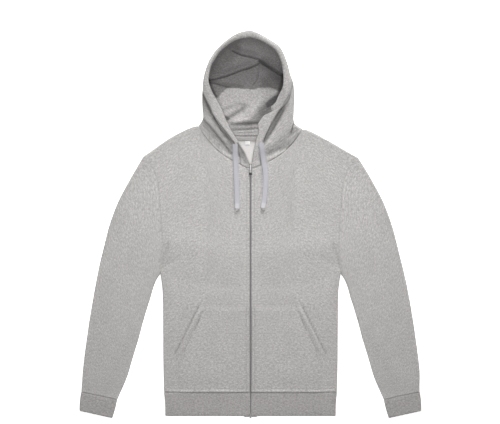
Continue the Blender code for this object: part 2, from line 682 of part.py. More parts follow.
def hood_panel(side, collection):
    """One half of the hood, from the casing over the rim to the centre seam on its underside."""
    seam = BAND_WIDTH + BAND_GAP / 2
    rolls = [FOLD_RADIUS * (1 - math.cos(math.radians(angle))) for angle in (60, 30, 0)]
    over = [BAND_SHARE * seam / BAND_WIDTH, BAND_SHARE * (seam + SEAM_STRIP) / BAND_WIDTH]
    over += FRONT_STOPS[1:]
    over += [share_at(FRONT_NECK, curve_length(FRONT_NECK) - roll) for roll in rolls[:2]] + [1.0]
    under = [share_at(BACK_NECK, curve_length(BACK_NECK) - roll) for roll in rolls[1::-1]]
    under += list(reversed(BACK_STOPS))
    neck = [neck_point(FRONT_NECK, share, side, 1) for share in over]
    neck += [neck_point(BACK_NECK, share, side, -1) for share in under]
    neck[-1].x = side * SEAM_GAP / 2
    sections = [neck]
    for row in (HOOD_RIGHT if side > 0 else HOOD_LEFT)[1:]:
        section = hood_section(row, side)
        start = cut(section, seam, seam + SEAM_STRIP, 1)
        sections.append(start[:1] + cut(section, seam + SEAM_STRIP, None, len(neck) - 2))
    crown = sections[-1]
    sections[-1] = [Vector((side * SEAM_GAP / 2, point.y, point.z)) for point in crown]
    return strip("hood_r" if side > 0 else "hood_l", sections, "grey_knit", collection, side < 0)


def hood_band(collection):
    """The casing round the opening: up the left side, over the crown and down the right side."""
    end = BAND_WIDTH - BAND_GAP / 2
    halves = []
    for side, table in ((-1, HOOD_LEFT), (1, HOOD_RIGHT)):
        reach = [BAND_WIDTH * k / 3 for k in range(3)] + [end - SEAM_STRIP, end]
        half = [[neck_point(FRONT_NECK, BAND_SHARE * r / BAND_WIDTH, side, 1) for r in reach]]
        for row in table[1:]:
            section = hood_section(row, side)
            points = cut(section, 0.0, end - SEAM_STRIP, 3)
            half.append(points + cut(section, end - SEAM_STRIP, end, 1)[1:])
        halves.append(half)
    sections = halves[0] + list(reversed(halves[1][:-1]))
    return strip("hood_band", sections, "grey_knit", collection, flip=True)


# ---------------------------------------------------------------- pockets, tape, label
POCKET_CORNER_SHARE = 0.46     # height share of the corner where side edge and slant meet


def pocket(side, collection):
    """Half of a kangaroo pocket: sewn at the top, zip, hem and side, open along the slant."""
    slant = straight(POCKET_SIDE_CORNER, (POCKET_TOP_CORNER_X, POCKET_TOP_Y))
    side_edge = straight((POCKET_SIDE_X, HEM_SEAM_Y), POCKET_SIDE_CORNER)
    outer = joined(side_edge, POCKET_CORNER_SHARE, slant)
    bottom = straight((POCKET_FRONT_X, HEM_SEAM_Y), (POCKET_SIDE_X, HEM_SEAM_Y))
    top = straight((POCKET_FRONT_X, POCKET_TOP_Y), (POCKET_TOP_CORNER_X, POCKET_TOP_Y))
    inner = straight((POCKET_FRONT_X, HEM_SEAM_Y), (POCKET_FRONT_X, POCKET_TOP_Y))
    patch = coons(bottom, top, inner, outer)
    outside = Vector((0.0, 0.0, SEAM_GAP + POCKET_WALL))

    def point(across, along):
        place = patch(across, along)
        return laid(Vector((side * place.x, place.y)), 1) + outside

    across = shares(5, POCKET_SIDE_X, ends_in_fold=False)
    along = [0.0007, 0.15, 0.30, POCKET_CORNER_SHARE, 0.64, 0.82, 1.0]
    name = "pocket_r" if side > 0 else "pocket_l"
    return cloth(name, across, along, point, "grey_knit", collection, POCKET_WALL, flip=side < 0)


def neck_tape(collection):
    """The tape over the back neck seam, on the inside of the back layer."""
    level = CLOTH_WALL + SEAM_GAP + TAPE_WALL

    def point(across, along):
        spot = BACK_NECK(abs(2 * across - 1) * NECK_TAPE_HALF_LENGTH / NECK_POINT[0])
        x = math.copysign(spot.x, across - 0.5)
        return Vector((x, spot.y + (2 * along - 1) * NECK_TAPE_HALF_WIDTH, level))

    columns = [k / 10 for k in range(11)]
    return cloth("neck_tape", columns, [0.0, 1.0], point, "grey_tape", collection, TAPE_WALL)


def box(name, low, high, finish, collection, bevel=0.0):
    mesh = bpy.data.meshes.new(name)
    block = bmesh.new()
    bmesh.ops.create_cube(block, size=1.0)
    middle = (Vector(low) + Vector(high)) / 2
    size = Vector(high) - Vector(low)
    for vert in block.verts:
        vert.co = Vector((vert.co.x * size.x, vert.co.y * size.y, vert.co.z * size.z))
    if bevel:
        bmesh.ops.bevel(block, geom=block.edges[:], offset=bevel, segments=2, affect="EDGES",
                        profile=0.5)
    block.to_mesh(mesh)
    block.free()
    obj = add_object(name, mesh, finish, collection)
    obj.location = middle
    return obj


def neck_label(collection):
    """The blank label, on the inside of the back below the neck seam."""
    top = BACK_NECK_Y - LABEL_DROP
    low = (LABEL_X[0], top - LABEL_HEIGHT, CLOTH_WALL + SEAM_GAP)
    high = (LABEL_X[1], top, CLOTH_WALL + SEAM_GAP + LABEL_WALL)
    return box("neck_label", low, high, "white_label", collection)


# ---------------------------------------------------------------- zip
TAPE_CLEARANCE = 0.0001    # tape to chain and front
TAPE_INSET = 0.001         # tape's ends, inside the zip's
CHAIN_TOP = 0.0022         # end of the teeth, above the pull tab's hinge
METAL_BEVEL = 0.0004


def merged(target, others):
    """Joins solids that are one casting into the first by Boolean unions."""
    for other in others:
        union = target.modifiers.new("union", "BOOLEAN")
        union.operation = "UNION"
        union.object = other
        other.hide_render = True
        other.display_type = "WIRE"
    return target


def zip_tape(side, collection):
    top = CHAIN_BASE_Z + TAPE_CLEARANCE + TAPE_WALL
    inner, outer = side * (FRONT_EDGE_X + TAPE_CLEARANCE), side * TAPE_OUTER_X
    low = (min(inner, outer), HEM_END_Y + TAPE_INSET, top - TAPE_WALL)
    high = (max(inner, outer), FRONT_NECK_Y - TAPE_INSET, top)
    return box("zip_tape_r" if side > 0 else "zip_tape_l", low, high, "grey_tape", collection)


def zip_chain(collection):
    """The closed teeth of both halves, up to the slider's post."""
    low = (-CHAIN_WIDTH / 2, ZIP_END_Y + BOTTOM_STOP_LENGTH + SEAM_GAP, CHAIN_BASE_Z)
    high = (CHAIN_WIDTH / 2, SLIDER_Y + CHAIN_TOP, CHAIN_BASE_Z + CHAIN_THICKNESS)
    return box("zip_chain", low, high, "zip_plastic", collection, bevel=0.0006)


def zip_bottom_stop(collection):
    low = (-0.0023, ZIP_END_Y, CHAIN_BASE_Z - 0.0004)
    high = (0.0023, ZIP_END_Y + BOTTOM_STOP_LENGTH, LAID_HEIGHT + 0.0010)
    return box("zip_bottom_stop", low, high, "nickel", collection, bevel=0.0005)


def block_object(block, collection, bevel=0.0):
    low = (block.x_low, SLIDER_Y + block.y_low, block.z_low)
    high = (block.x_high, SLIDER_Y + block.y_high, block.z_high)
    return box(block.name, low, high, "nickel", collection, bevel)


def zip_slider(collection, tools):
    """Two plates joined by a post above the chain's end, with the bridge that holds the pull."""
    slider = block_object(SLIDER_PLATE, collection, METAL_BEVEL)
    return merged(slider, [block_object(block, tools) for block in SLIDER_BLOCKS])


def zip_pull(collection, tools):
    """The pull tab: a bar under the bridge, two arms beside it and the tag they carry."""
    pull = block_object(PULL_TAG, collection, METAL_BEVEL)
    parts = [block_object(block, tools) for block in PULL_BLOCKS]
    merged(pull, parts)
    hinge = bpy.data.objects.new("pull_hinge", None)
    hinge.location = (0.0, SLIDER_Y, HINGE_Z)
    collection.objects.link(hinge)
    for obj in [pull, *parts]:
        obj.parent = hinge
        obj.location = obj.location - hinge.location
    return pull


# ---------------------------------------------------------------- drawcords
def cord_profile(tools):
    """The flat cord's oval section, used as the bevel of both cords."""
    curve = bpy.data.curves.new("cord_profile", "CURVE")
    curve.dimensions = "2D"
    spline = curve.splines.new("POLY")
    count = 12
    spline.points.add(count - 1)
    for k, point in enumerate(spline.points):
        angle = -2 * math.pi * k / count
        point.co = (CORD_WIDTH / 2 * math.cos(angle), CORD_THICKNESS / 2 * math.sin(angle), 0.0, 1.0)
    spline.use_cyclic_u = True
    profile = bpy.data.objects.new("cord_profile", curve)
    profile.hide_render = True
    profile.display_type = "WIRE"
    tools.objects.link(profile)
    return profile


def smooth_route(points, steps):
    """Points evenly on a Catmull-Rom curve through the route's own points."""
    plan = smooth_path([(p.x, p.y) for p in points])
    rise = smooth_path([(p.z, p.y) for p in points])
    route = []
    for k in range(steps + 1):
        spot, level = plan(k / steps), rise(k / steps)
        route.append(Vector((spot.x, spot.y, level.x)))
    return route


def drawcord(side, profile, collection):
    route = smooth_route(CORD_RIGHT if side > 0 else CORD_LEFT, CORD_STEPS)
    name = "cord_r" if side > 0 else "cord_l"
    curve = bpy.data.curves.new(name, "CURVE")
    curve.dimensions = "3D"
    curve.twist_mode = "Z_UP"
    curve.bevel_mode = "OBJECT"
    curve.bevel_object = profile
    curve.use_fill_caps = True
    spline = curve.splines.new("POLY")
    spline.points.add(len(route) - 1)
    for point, place in zip(spline.points, route):
        point.co = (place.x, place.y, place.z, 1.0)
    cord = bpy.data.objects.new(name, curve)
    curve.materials.append(material("grey_cord"))
    collection.objects.link(cord)
    return cord


def cord_tip(side, collection):
    """The bound end of a cord, in line with the cord's last stretch."""
    route = smooth_route(CORD_RIGHT if side > 0 else CORD_LEFT, CORD_STEPS)
    end, run = route[-1], (route[-1] - route[-2]).normalized()
    half = CORD_TIP_LENGTH / 2
    low = (-CORD_TIP_HALF_WIDTH, -half, CORD_TIP_Z[0])
    high = (CORD_TIP_HALF_WIDTH, half, CORD_TIP_Z[1])
    name = "cord_tip_r" if side > 0 else "cord_tip_l"
    tip = box(name, low, high, "tip_plastic", collection, bevel=0.0010)
    tip.location = end + run * (half + SEAM_GAP)
    tip.rotation_euler.z = math.atan2(run.x, -run.y)
    return tip


def build():
    clear_scene()
    scene = bpy.context.scene
    garment = bpy.data.collections.new("zip_up_hoodie")
    tools = bpy.data.collections.new("construction")
    scene.collection.children.link(garment)
    scene.collection.children.link(tools)
    back_panel(garment)
    hem_rib(garment)
    hood_band(garment)
    neck_tape(garment)
    neck_label(garment)
    zip_chain(garment)
    zip_bottom_stop(garment)
    zip_slider(garment, tools)
    zip_pull(garment, tools)
    profile = cord_profile(tools)
    for side in (-1, 1):
        front_panel(side, garment)
        sleeve(side, garment)
        cuff(side, garment)
        pocket(side, garment)
        hood_panel(side, garment)
        zip_tape(side, garment)
        drawcord(side, profile, garment)
        cord_tip(side, garment)


build()
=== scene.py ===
"""Looks of the zip-front hooded sweatshirt, laid flat on its back.

Metres, +Z up, +Y towards the hood. Each cloth piece is a dense thin shell on the form of its CAD
solid: the plan curves are the CAD's own, and seams, folds and creases are soft reliefs on them.
"""
import math
from collections import namedtuple

import bpy
import numpy as np
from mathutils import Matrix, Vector


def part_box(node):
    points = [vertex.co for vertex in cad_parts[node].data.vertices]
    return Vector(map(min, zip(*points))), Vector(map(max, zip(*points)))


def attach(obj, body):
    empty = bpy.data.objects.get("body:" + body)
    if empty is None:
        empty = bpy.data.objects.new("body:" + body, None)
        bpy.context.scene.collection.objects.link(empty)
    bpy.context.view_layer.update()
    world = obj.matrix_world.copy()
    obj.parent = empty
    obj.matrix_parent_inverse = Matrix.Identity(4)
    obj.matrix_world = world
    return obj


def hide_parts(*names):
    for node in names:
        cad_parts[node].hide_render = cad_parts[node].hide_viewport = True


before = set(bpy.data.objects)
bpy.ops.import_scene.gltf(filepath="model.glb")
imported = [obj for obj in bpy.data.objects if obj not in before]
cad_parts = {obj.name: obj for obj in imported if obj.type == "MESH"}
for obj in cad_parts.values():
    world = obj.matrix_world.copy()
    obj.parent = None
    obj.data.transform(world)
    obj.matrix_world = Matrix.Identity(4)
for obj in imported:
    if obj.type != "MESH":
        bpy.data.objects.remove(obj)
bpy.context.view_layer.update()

# ---------------------------------------------------------------- camera and light
PIXEL = 0.0025                 # metres of the garment that one pixel of the picture covers
PICTURE = (500, 424)
ORIGIN_U, ORIGIN_V = 250.5, 225.0      # the pixel at which the plan's origin shows
LENS = 85.0                    # millimetres, on a 36 mm sensor
SENSOR = 36.0
CAMERA_HEIGHT = PICTURE[0] * PIXEL * LENS / SENSOR

Lamp = namedtuple("Lamp", "name x y z size_x size_y watts red green blue")
LAMPS = [
    Lamp("low_key", 0.40, 3.25, 1.15, 1.40, 0.60, 118.0, 1.00, 0.985, 0.97),
    Lamp("overhead", -0.03, 0.06, 1.35, 1.10, 1.10, 13.9, 1.00, 0.985, 0.985),
]
LAMP_AIM = Vector((0.0, 0.10, 0.0))
AMBIENT = 0.16


def picture_point(u, v):
    """The plan point that shows at a pixel of the 500 x 424 picture."""
    return ((u - ORIGIN_U) * PIXEL, (ORIGIN_V - v) * PIXEL)


PICTURE_MIDDLE = picture_point(PICTURE[0] / 2, PICTURE[1] / 2)


def place(name, data, location=(0.0, 0.0, 0.0)):
    obj = bpy.data.objects.new(name, data)
    obj.location = location
    bpy.context.scene.collection.objects.link(obj)
    return obj


def add_camera():
    data = bpy.data.cameras.new("camera")
    data.lens, data.sensor_width = LENS, SENSOR
    bpy.context.scene.camera = place("camera", data, (*PICTURE_MIDDLE, CAMERA_HEIGHT))


def add_lights():
    for lamp in LAMPS:
        data = bpy.data.lights.new(lamp.name, "AREA")
        data.shape = "RECTANGLE"
        data.size, data.size_y = lamp.size_x, lamp.size_y
        data.energy = lamp.watts
        data.color = (lamp.red, lamp.green, lamp.blue)
        light = place(lamp.name, data, (lamp.x, lamp.y, lamp.z))
        light.rotation_euler = (LAMP_AIM - light.location).to_track_quat("-Z", "Y").to_euler()
        light.visible_camera = False
    scene = bpy.context.scene
    scene.world = bpy.data.worlds.new("studio")
    scene.world.use_nodes = True
    background = scene.world.node_tree.nodes["Background"]
    background.inputs["Color"].default_value = (1.0, 1.0, 1.0, 1.0)
    background.inputs["Strength"].default_value = AMBIENT
    scene.view_settings.view_transform = "Standard"


# ---------------------------------------------------------------- materials
WALE, COURSE = 0.0013, 0.0011  # pitches of the knit's columns and rows of stitches
FIBRE, CLUMP, CLOUD = 620.0, 250.0, 26.0       # features of the knit's colour, per metre
NAP, GRAIN = 420.0, 900.0      # those of the fleece, and of braid, metal, plastic and thread
MIX_INPUTS = (0, 6, 7)         # of a colour mix: factor and the two colours
MIX_RESULT = 2


def principled(name, color, roughness, metallic=0.0, sheen=0.0, sheen_roughness=0.5, specular=0.3):
    made = bpy.data.materials.new(name)
    made.use_nodes = True
    shader = made.node_tree.nodes["Principled BSDF"]
    shader.inputs["Base Color"].default_value = (*color, 1.0)
    shader.inputs["Roughness"].default_value = roughness
    shader.inputs["Metallic"].default_value = metallic
    shader.inputs["Sheen Weight"].default_value = sheen
    shader.inputs["Sheen Roughness"].default_value = sheen_roughness
    shader.inputs["Specular IOR Level"].default_value = specular
    return made, made.node_tree, shader


def add_node(tree, kind, **settings):
    node = tree.nodes.new("ShaderNode" + kind)
    for name, value in settings.items():
        setattr(node, name, value)
    return node


def feed(tree, sockets, values):
    """Links each value that is a node's output to its socket, and sets the others."""
    for socket, value in zip(sockets, values):
        if isinstance(value, bpy.types.NodeSocket):
            tree.links.new(value, socket)
        else:
            socket.default_value = value


def add_noise(tree, vector, scale, detail, stretch=(1.0, 1.0, 1.0)):
    """A noise texture whose features are 1 / scale metres, stretched along the cloth."""
    mapping, noise = add_node(tree, "Mapping"), add_node(tree, "TexNoise")
    mapping.inputs["Scale"].default_value = [scale * part for part in stretch]
    tree.links.new(vector, mapping.inputs["Vector"])
    sockets = [noise.inputs[name] for name in ("Vector", "Scale", "Detail", "Roughness")]
    feed(tree, sockets, (mapping.outputs["Vector"], 1.0, detail, 0.6))
    return noise.outputs["Fac"]


def ramp(tree, value, low, high):
    """A colour ramp between two (position, colour) ends, where a colour may be one grey."""
    node = add_node(tree, "ValToRGB")
    for element, (position, color) in zip(node.color_ramp.elements, (low, high)):
        element.position = position
        element.color = (*np.broadcast_to(color, 3), 1.0)
    tree.links.new(value, node.inputs["Fac"])
    return node.outputs["Color"]


def times(tree, first, second):
    """The product of two colours."""
    node = add_node(tree, "Mix", data_type="RGBA", blend_type="MULTIPLY")
    feed(tree, [node.inputs[k] for k in MIX_INPUTS], (1.0, first, second))
    return node.outputs[MIX_RESULT]


def calc(tree, operation, *values):
    node = add_node(tree, "Math", operation=operation)
    feed(tree, node.inputs, values)
    return node.outputs[0]


def add_bump(tree, shader, height, distance):
    bump = add_node(tree, "Bump")
    bump.inputs["Distance"].default_value = distance
    bump.inputs["Strength"].default_value = 1.0
    tree.links.new(height, bump.inputs["Height"])
    tree.links.new(bump.outputs["Normal"], shader.inputs["Normal"])


def paint(tree, shader, color):
    tree.links.new(color, shader.inputs["Base Color"])


def paint_shaded(tree, shader, color):
    """Paints cloth, darker by the mesh's "shade" attribute where light hardly reaches."""
    shade = add_node(tree, "Attribute", attribute_name="shade")
    paint(tree, shader, times(tree, color, shade.outputs["Color"]))


def cloth_place(tree):
    """Metres across and along the cloth."""
    return add_node(tree, "UVMap", uv_map="cloth").outputs["UV"]


def parts_of(tree, vector):
    split = add_node(tree, "SeparateXYZ")
    tree.links.new(vector, split.inputs[0])
    return split.outputs


def grained(tree, shader, vector, scale, detail, low, high, relief):
    """An uneven colour with a relief, both from one noise."""
    speck = add_noise(tree, vector, scale, detail)
    add_bump(tree, shader, speck, relief)
    return ramp(tree, speck, low, high)


def knit(name, dark, light, relief=0.00016):
    """Heather knit: short flecks of dark and light fibre over rows of small stitches."""
    middle = [(a + b) / 2 for a, b in zip(dark, light)]
    made, tree, shader = principled(name, middle, 0.95, sheen=0.12, sheen_roughness=0.45)
    cloth = cloth_place(tree)
    fibre = add_noise(tree, cloth, FIBRE, 3.0, (1.0, 0.45, 1.0))
    clump = add_noise(tree, cloth, CLUMP, 2.0, (0.7, 1.0, 1.0))
    cloud = add_noise(tree, cloth, CLOUD, 3.0)
    fine = ramp(tree, fibre, (0.34, dark), (0.64, light))
    tinted = times(tree, fine, ramp(tree, clump, (0.36, 0.83), (0.64, 1.136)))
    paint_shaded(tree, shader, times(tree, tinted, ramp(tree, cloud, (0.35, 0.97), (0.65, 1.03))))
    u, v, _ = parts_of(tree, cloth)
    wales = calc(tree, "ABSOLUTE", calc(tree, "SINE", calc(tree, "MULTIPLY", u, 2 * math.pi / WALE)))
    rows = calc(tree, "MULTIPLY", v, 2 * math.pi / COURSE)
    loops = calc(tree, "SINE", calc(tree, "ADD", rows, calc(tree, "MULTIPLY", wales, 2.2)))
    height = calc(tree, "ADD", calc(tree, "MULTIPLY", loops, 0.35), wales)
    height = calc(tree, "ADD", height, calc(tree, "MULTIPLY", fibre, 1.6))
    add_bump(tree, shader, height, relief)
    return made


def fleece(name, dark, light):
    """The brushed back of the knit: soft, pale, and without rows."""
    made, tree, shader = principled(name, light, 1.0, sheen=0.1, sheen_roughness=0.6)
    nap = grained(tree, shader, cloth_place(tree), NAP, 4.0, (0.35, dark), (0.65, light), 0.0006)
    paint_shaded(tree, shader, nap)
    return made


def braid(name, color, dark, light):
    made, tree, shader = principled(name, color, 0.8, sheen=0.1)
    cloth = cloth_place(tree)
    paint(tree, shader, grained(tree, shader, cloth, GRAIN, 3.0, (0.3, dark), (0.7, light), 0.0002))
    return made


def plain(name, color, roughness, metallic=0.0):
    """Moulded plastic, plated metal or thread: one colour with a fine uneven grain."""
    made, tree, shader = principled(name, color, roughness, metallic, specular=0.5)
    dark, light = ([part * (1 + change) for part in color] for change in (-0.06, 0.06))
    spot = add_node(tree, "TexCoord").outputs["Object"]
    paint(tree, shader, grained(tree, shader, spot, GRAIN, 3.0, (0.3, dark), (0.7, light), 0.00003))
    return made


def plated(name, color, roughness, metallic):
    """Plated metal, and shares 0..1 across and along the piece's own box."""
    made, tree, shader = principled(name, color, roughness, metallic, specular=0.5)
    across, along, _ = parts_of(tree, add_node(tree, "TexCoord").outputs["Generated"])
    return made, tree, shader, across, along


def pull_metal():
    """Plated metal, with painted shade: a dark band round its outline."""
    made, tree, shader, *shares = plated("pull_metal", (0.32, 0.32, 0.315), 0.42, 1.0)
    across, along = (calc(tree, "ABSOLUTE", calc(tree, "SUBTRACT", share, 0.5)) for share in shares)
    edge = calc(tree, "MAXIMUM", calc(tree, "ADD", across, 0.14), along)
    # painted shade: the outline's dark band
    paint(tree, shader, ramp(tree, edge, (0.43, (0.32, 0.32, 0.315)), (0.46, 0.05)))
    return made


def slider_metal():
    """Plated metal, with a painted highlight on the slider's crown and painted shade at its mouth."""
    made, tree, shader, _, along = plated("slider_metal", (0.045, 0.045, 0.045), 0.45, 0.6)
    # painted shade at the mouth, painted highlight on the crown
    paint(tree, shader, ramp(tree, along, (0.50, 0.035), (0.62, 0.40)))
    return made


def twill(name, dark, light, pitch):
    """Woven tape: fine diagonal ribs."""
    made, tree, shader = principled(name, light, 0.85)
    u, v, _ = parts_of(tree, cloth_place(tree))
    run = calc(tree, "MULTIPLY", calc(tree, "ADD", u, v), 2 * math.pi / pitch)
    level = calc(tree, "ADD", calc(tree, "MULTIPLY", calc(tree, "SINE", run), 0.5), 0.5)
    paint(tree, shader, ramp(tree, level, (0.0, dark), (1.0, light)))
    add_bump(tree, shader, level, 0.0003)
    return made


GREY = {
    "knit": knit("heather_knit", (0.40, 0.395, 0.388), (0.62, 0.610, 0.602)),
    "hood": knit("heather_hood", (0.40, 0.395, 0.388), (0.62, 0.610, 0.602)),
    "rib": knit("heather_rib", (0.315, 0.308, 0.302), (0.49, 0.480, 0.472), 0.0001),
    "inside": knit("hood_inside", (0.40, 0.393, 0.388), (0.62, 0.608, 0.602), 0.0001),
    "fleece": fleece("fleece", (0.59, 0.58, 0.57), (0.72, 0.71, 0.70)),
    "tape": twill("twill_tape", (0.33, 0.32, 0.315), (0.45, 0.44, 0.435), 0.0011),
    "zip_tape": twill("zip_tape", (0.30, 0.296, 0.292), (0.38, 0.376, 0.372), 0.0008),
    "thread": plain("sewing_thread", (0.56, 0.555, 0.55), 0.7),
    "teeth": plain("zip_teeth", (0.24, 0.24, 0.24), 0.45),
    "metal": plain("nickel", (0.34, 0.337, 0.330), 0.42, 1.0),
    "pull": pull_metal(),
    "slider": slider_metal(),
    "label": twill("woven_label", (0.82, 0.82, 0.82), (0.90, 0.90, 0.90), 0.0006),
    "cord": braid("braided_cord", (0.47, 0.47, 0.51), (0.40, 0.40, 0.435), (0.53, 0.53, 0.575)),
    "binding": plain("cord_binding", (0.50, 0.50, 0.53), 0.30),
    # the cord's cut end, painted darker than the cord as a stand-in for the shadow that its binding casts
    "cut_end_shadow": plain("cord_cut_end", (0.33, 0.325, 0.32), 0.8),
}

# ---------------------------------------------------------------- the garment's driving dimensions
CLOTH_WALL = 0.0024
LAYER_GAP = 0.0032
LAID_HEIGHT = 2 * CLOTH_WALL + LAYER_GAP
FOLD_RADIUS = LAID_HEIGHT / 2
SEAM_GAP = 0.0003
ARMHOLE_GAP = 0.0001
HEM_SEAM_Y = -0.422
HEM_END_Y = -0.480
HEM_HALF_WIDTH = 0.2128
FRONT_EDGE_X = 0.0020
FRONT_NECK_Y = 0.1463
BACK_NECK_Y = 0.2138
NECK_POINT = (0.130, 0.2438)
NECK_PULL = (0.085, 0.160)
BACK_NECK_PULL = (0.070, 0.2125)
SHOULDER_POINT = (0.2663, 0.170)
UNDERARM = (0.2250, -0.1225)
BAND_WIDTH = 0.025
POCKET_WALL = 0.0020
POCKET_TOP_Y = -0.2015
POCKET_TOP_CORNER = (0.1258, POCKET_TOP_Y)
POCKET_SIDE_CORNER = (0.1850, -0.320)
POCKET_FRONT_X = 0.0040
POCKET_SIDE_X = 0.1840

SleeveRow = namedtuple("SleeveRow", "fold_x fold_y under_x under_y bow", defaults=(0.0,))
SLEEVE = [SleeveRow(*row) for row in (
    (0.2663, 0.1700, 0.2250, -0.1225, 1.00),
    (0.2988, 0.1125, 0.2338, -0.1350, 0.55),
    (0.3288, 0.0550, 0.2420, -0.1550, 0.25),
    (0.3555, -0.0175, 0.2498, -0.1825, 0.10),
    (0.3742, -0.0875, 0.2580, -0.2075),
    (0.3882, -0.1575, 0.2690, -0.2450),
    (0.4000, -0.2250, 0.2803, -0.2875),
    (0.4092, -0.2875, 0.2935, -0.3300),
    (0.4172, -0.3500, 0.3083, -0.3800),
    (0.4225, -0.4158, 0.3323, -0.4350),
)]
CUFF = [SleeveRow(*row) for row in (
    (0.4225, -0.4158, 0.3323, -0.4350),
    (0.4258, -0.4400, 0.3375, -0.4580),
    (0.4267, -0.4640, 0.3450, -0.4820),
)]
SIDE_SEAM = [(0.2160, HEM_SEAM_Y), (0.2178, -0.340), (0.2185, -0.235), (0.2198, -0.165), UNDERARM]
ARMHOLE = [
    UNDERARM, (0.2205, -0.0500), (0.2235, 0.0125), (0.2268, 0.0625), (0.2310, 0.1025),
    (0.2425, 0.1375), SHOULDER_POINT,
]
SHOULDER = [NECK_POINT, (0.1513, 0.2380), (0.2013, 0.2120), SHOULDER_POINT]

HoodRow = namedtuple("HoodRow", "edge_x edge_y rim_x rim_y back_y rise lip bend_x bend_y",
                     defaults=(0.0, 0.0))
HOOD_LEFT = [HoodRow(*row) for row in (
    (-0.0020, 0.1463, -0.1300, 0.2438, 0.2138, 0.0080, 0.0080, -0.0187, -0.0351),
    (-0.0042, 0.1625, -0.1240, 0.2513, 0.2200, 0.0095, 0.0090, 0.0150, -0.0350),
    (-0.0163, 0.1850, -0.1188, 0.2610, 0.2300, 0.0185, 0.0130, 0.0030, -0.0200),
    (-0.0338, 0.2125, -0.1180, 0.2725, 0.2450, 0.0230, 0.0160, 0.0000, -0.0080),
    (-0.0538, 0.2450, -0.1198, 0.2900, 0.2650, 0.0270, 0.0190),
    (-0.0738, 0.2900, -0.1205, 0.3150, 0.2950, 0.0320, 0.0260),
    (-0.0963, 0.3375, -0.1195, 0.3375, 0.3275, 0.0380, 0.0360),
    (-0.1038, 0.3650, -0.1163, 0.3675, 0.3550, 0.0430, 0.0430),
    (-0.1000, 0.3950, -0.1080, 0.3970, 0.3780, 0.0460, 0.0460),
    (-0.0900, 0.4150, -0.0973, 0.4190, 0.3950, 0.0470, 0.0470),
    (-0.0738, 0.4370, -0.0800, 0.4415, 0.4080, 0.0480, 0.0480),
    (-0.0500, 0.4560, -0.0545, 0.4640, 0.4180, 0.0480, 0.0480),
    (-0.0263, 0.4665, -0.0280, 0.4785, 0.4240, 0.0480, 0.0480),
    (0.0000, 0.4700, 0.0000, 0.4820, 0.4280, 0.0480, 0.0480),
)]
HOOD_RIGHT = [HoodRow(*row) for row in (
    (0.0020, 0.1463, 0.1300, 0.2438, 0.2138, 0.0080, 0.0080, 0.0187, -0.0351),
    (0.0034, 0.1610, 0.1225, 0.2478, 0.2200, 0.0095, 0.0090, -0.0100, -0.0300),
    (0.0063, 0.1800, 0.1120, 0.2540, 0.2300, 0.0180, 0.0130, -0.0030, -0.0200),
    (0.0125, 0.2075, 0.1075, 0.2650, 0.2450, 0.0230, 0.0160, 0.0000, -0.0080),
    (0.0213, 0.2375, 0.1078, 0.2820, 0.2650, 0.0270, 0.0190),
    (0.0363, 0.2700, 0.1088, 0.3010, 0.2900, 0.0310, 0.0230),
    (0.0538, 0.2960, 0.1093, 0.3200, 0.3125, 0.0350, 0.0290),
    (0.0675, 0.3200, 0.1088, 0.3375, 0.3330, 0.0390, 0.0350),
    (0.0788, 0.3475, 0.1063, 0.3550, 0.3550, 0.0430, 0.0410),
    (0.0820, 0.3750, 0.0988, 0.3770, 0.3780, 0.0450, 0.0450),
    (0.0788, 0.4050, 0.0895, 0.4090, 0.3950, 0.0470, 0.0470),
    (0.0650, 0.4350, 0.0740, 0.4420, 0.4080, 0.0480, 0.0480),
    (0.0435, 0.4520, 0.0490, 0.4610, 0.4180, 0.0480, 0.0480),
    (0.0210, 0.4640, 0.0250, 0.4740, 0.4240, 0.0480, 0.0480),
    (0.0000, 0.4700, 0.0000, 0.4820, 0.4280, 0.0480, 0.0480),
)]

# x, y and z along the cords' middle lines, from the casing down
CORD_LEFT = [
    (-0.0385, 0.2010, 0.0168),
    (-0.0381, 0.1900, 0.0152),
    (-0.0377, 0.1760, 0.0124),
    (-0.0371, 0.1600, 0.0107),
    (-0.0364, 0.1420, 0.0102),
    (-0.0356, 0.1200, 0.0101),
    (-0.0346, 0.0980, 0.0101),
    (-0.0335, 0.0760, 0.0101),
    (-0.0330, 0.0535, 0.0101),
]
CORD_RIGHT = [
    (0.0272, 0.2035, 0.0176),
    (0.0284, 0.1900, 0.0162),
    (0.0306, 0.1740, 0.0124),
    (0.0336, 0.1560, 0.0105),
    (0.0364, 0.1380, 0.0102),
    (0.0378, 0.1180, 0.0101),
    (0.0374, 0.0940, 0.0101),
    (0.0352, 0.0720, 0.0101),
    (0.0330, 0.0550, 0.0101),
]

UP = (0.0, 0.0, 1.0)
SIDES = ((-1, "l"), (1, "r"))
CURVE_STEPS = 60
CHUNK = 4000                   # plan points taken at a time, for the sake of memory


# ---------------------------------------------------------------- plan curves, on arrays of shares
def arc_lengths(line):
    return np.concatenate([[0.0], np.cumsum(np.linalg.norm(np.diff(line, axis=0), axis=1))])


def on_line(line, lengths, at):
    """The points of a polyline where its lengths reach the given ones."""
    return np.stack([np.interp(at, lengths, values) for values in line.T], axis=1)


def unit(vectors):
    return vectors / np.maximum(np.linalg.norm(vectors, axis=-1, keepdims=True), 1e-12)


def smooth_path(points):
    """A function of shares 0..1 along a Catmull-Rom curve through points of any dimension."""
    knots = np.array(points, float)
    ends = np.vstack([2 * knots[0] - knots[1], knots, 2 * knots[-1] - knots[-2]])
    lengths = arc_lengths(knots[:, :2])

    def at(share):
        reach = np.clip(np.asarray(share, float), 0.0, 1.0) * lengths[-1]
        span = np.clip(np.searchsorted(lengths, reach, side="right") - 1, 0, len(knots) - 2)
        t = ((reach - lengths[span]) / (lengths[span + 1] - lengths[span]))[..., None]
        before, here, after, beyond = (ends[span + k] for k in range(4))
        return 0.5 * (2 * here + (after - before) * t
                      + (2 * before - 5 * here + 4 * after - beyond) * t ** 2
                      + (3 * here - before - 3 * after + beyond) * t ** 3)

    return at


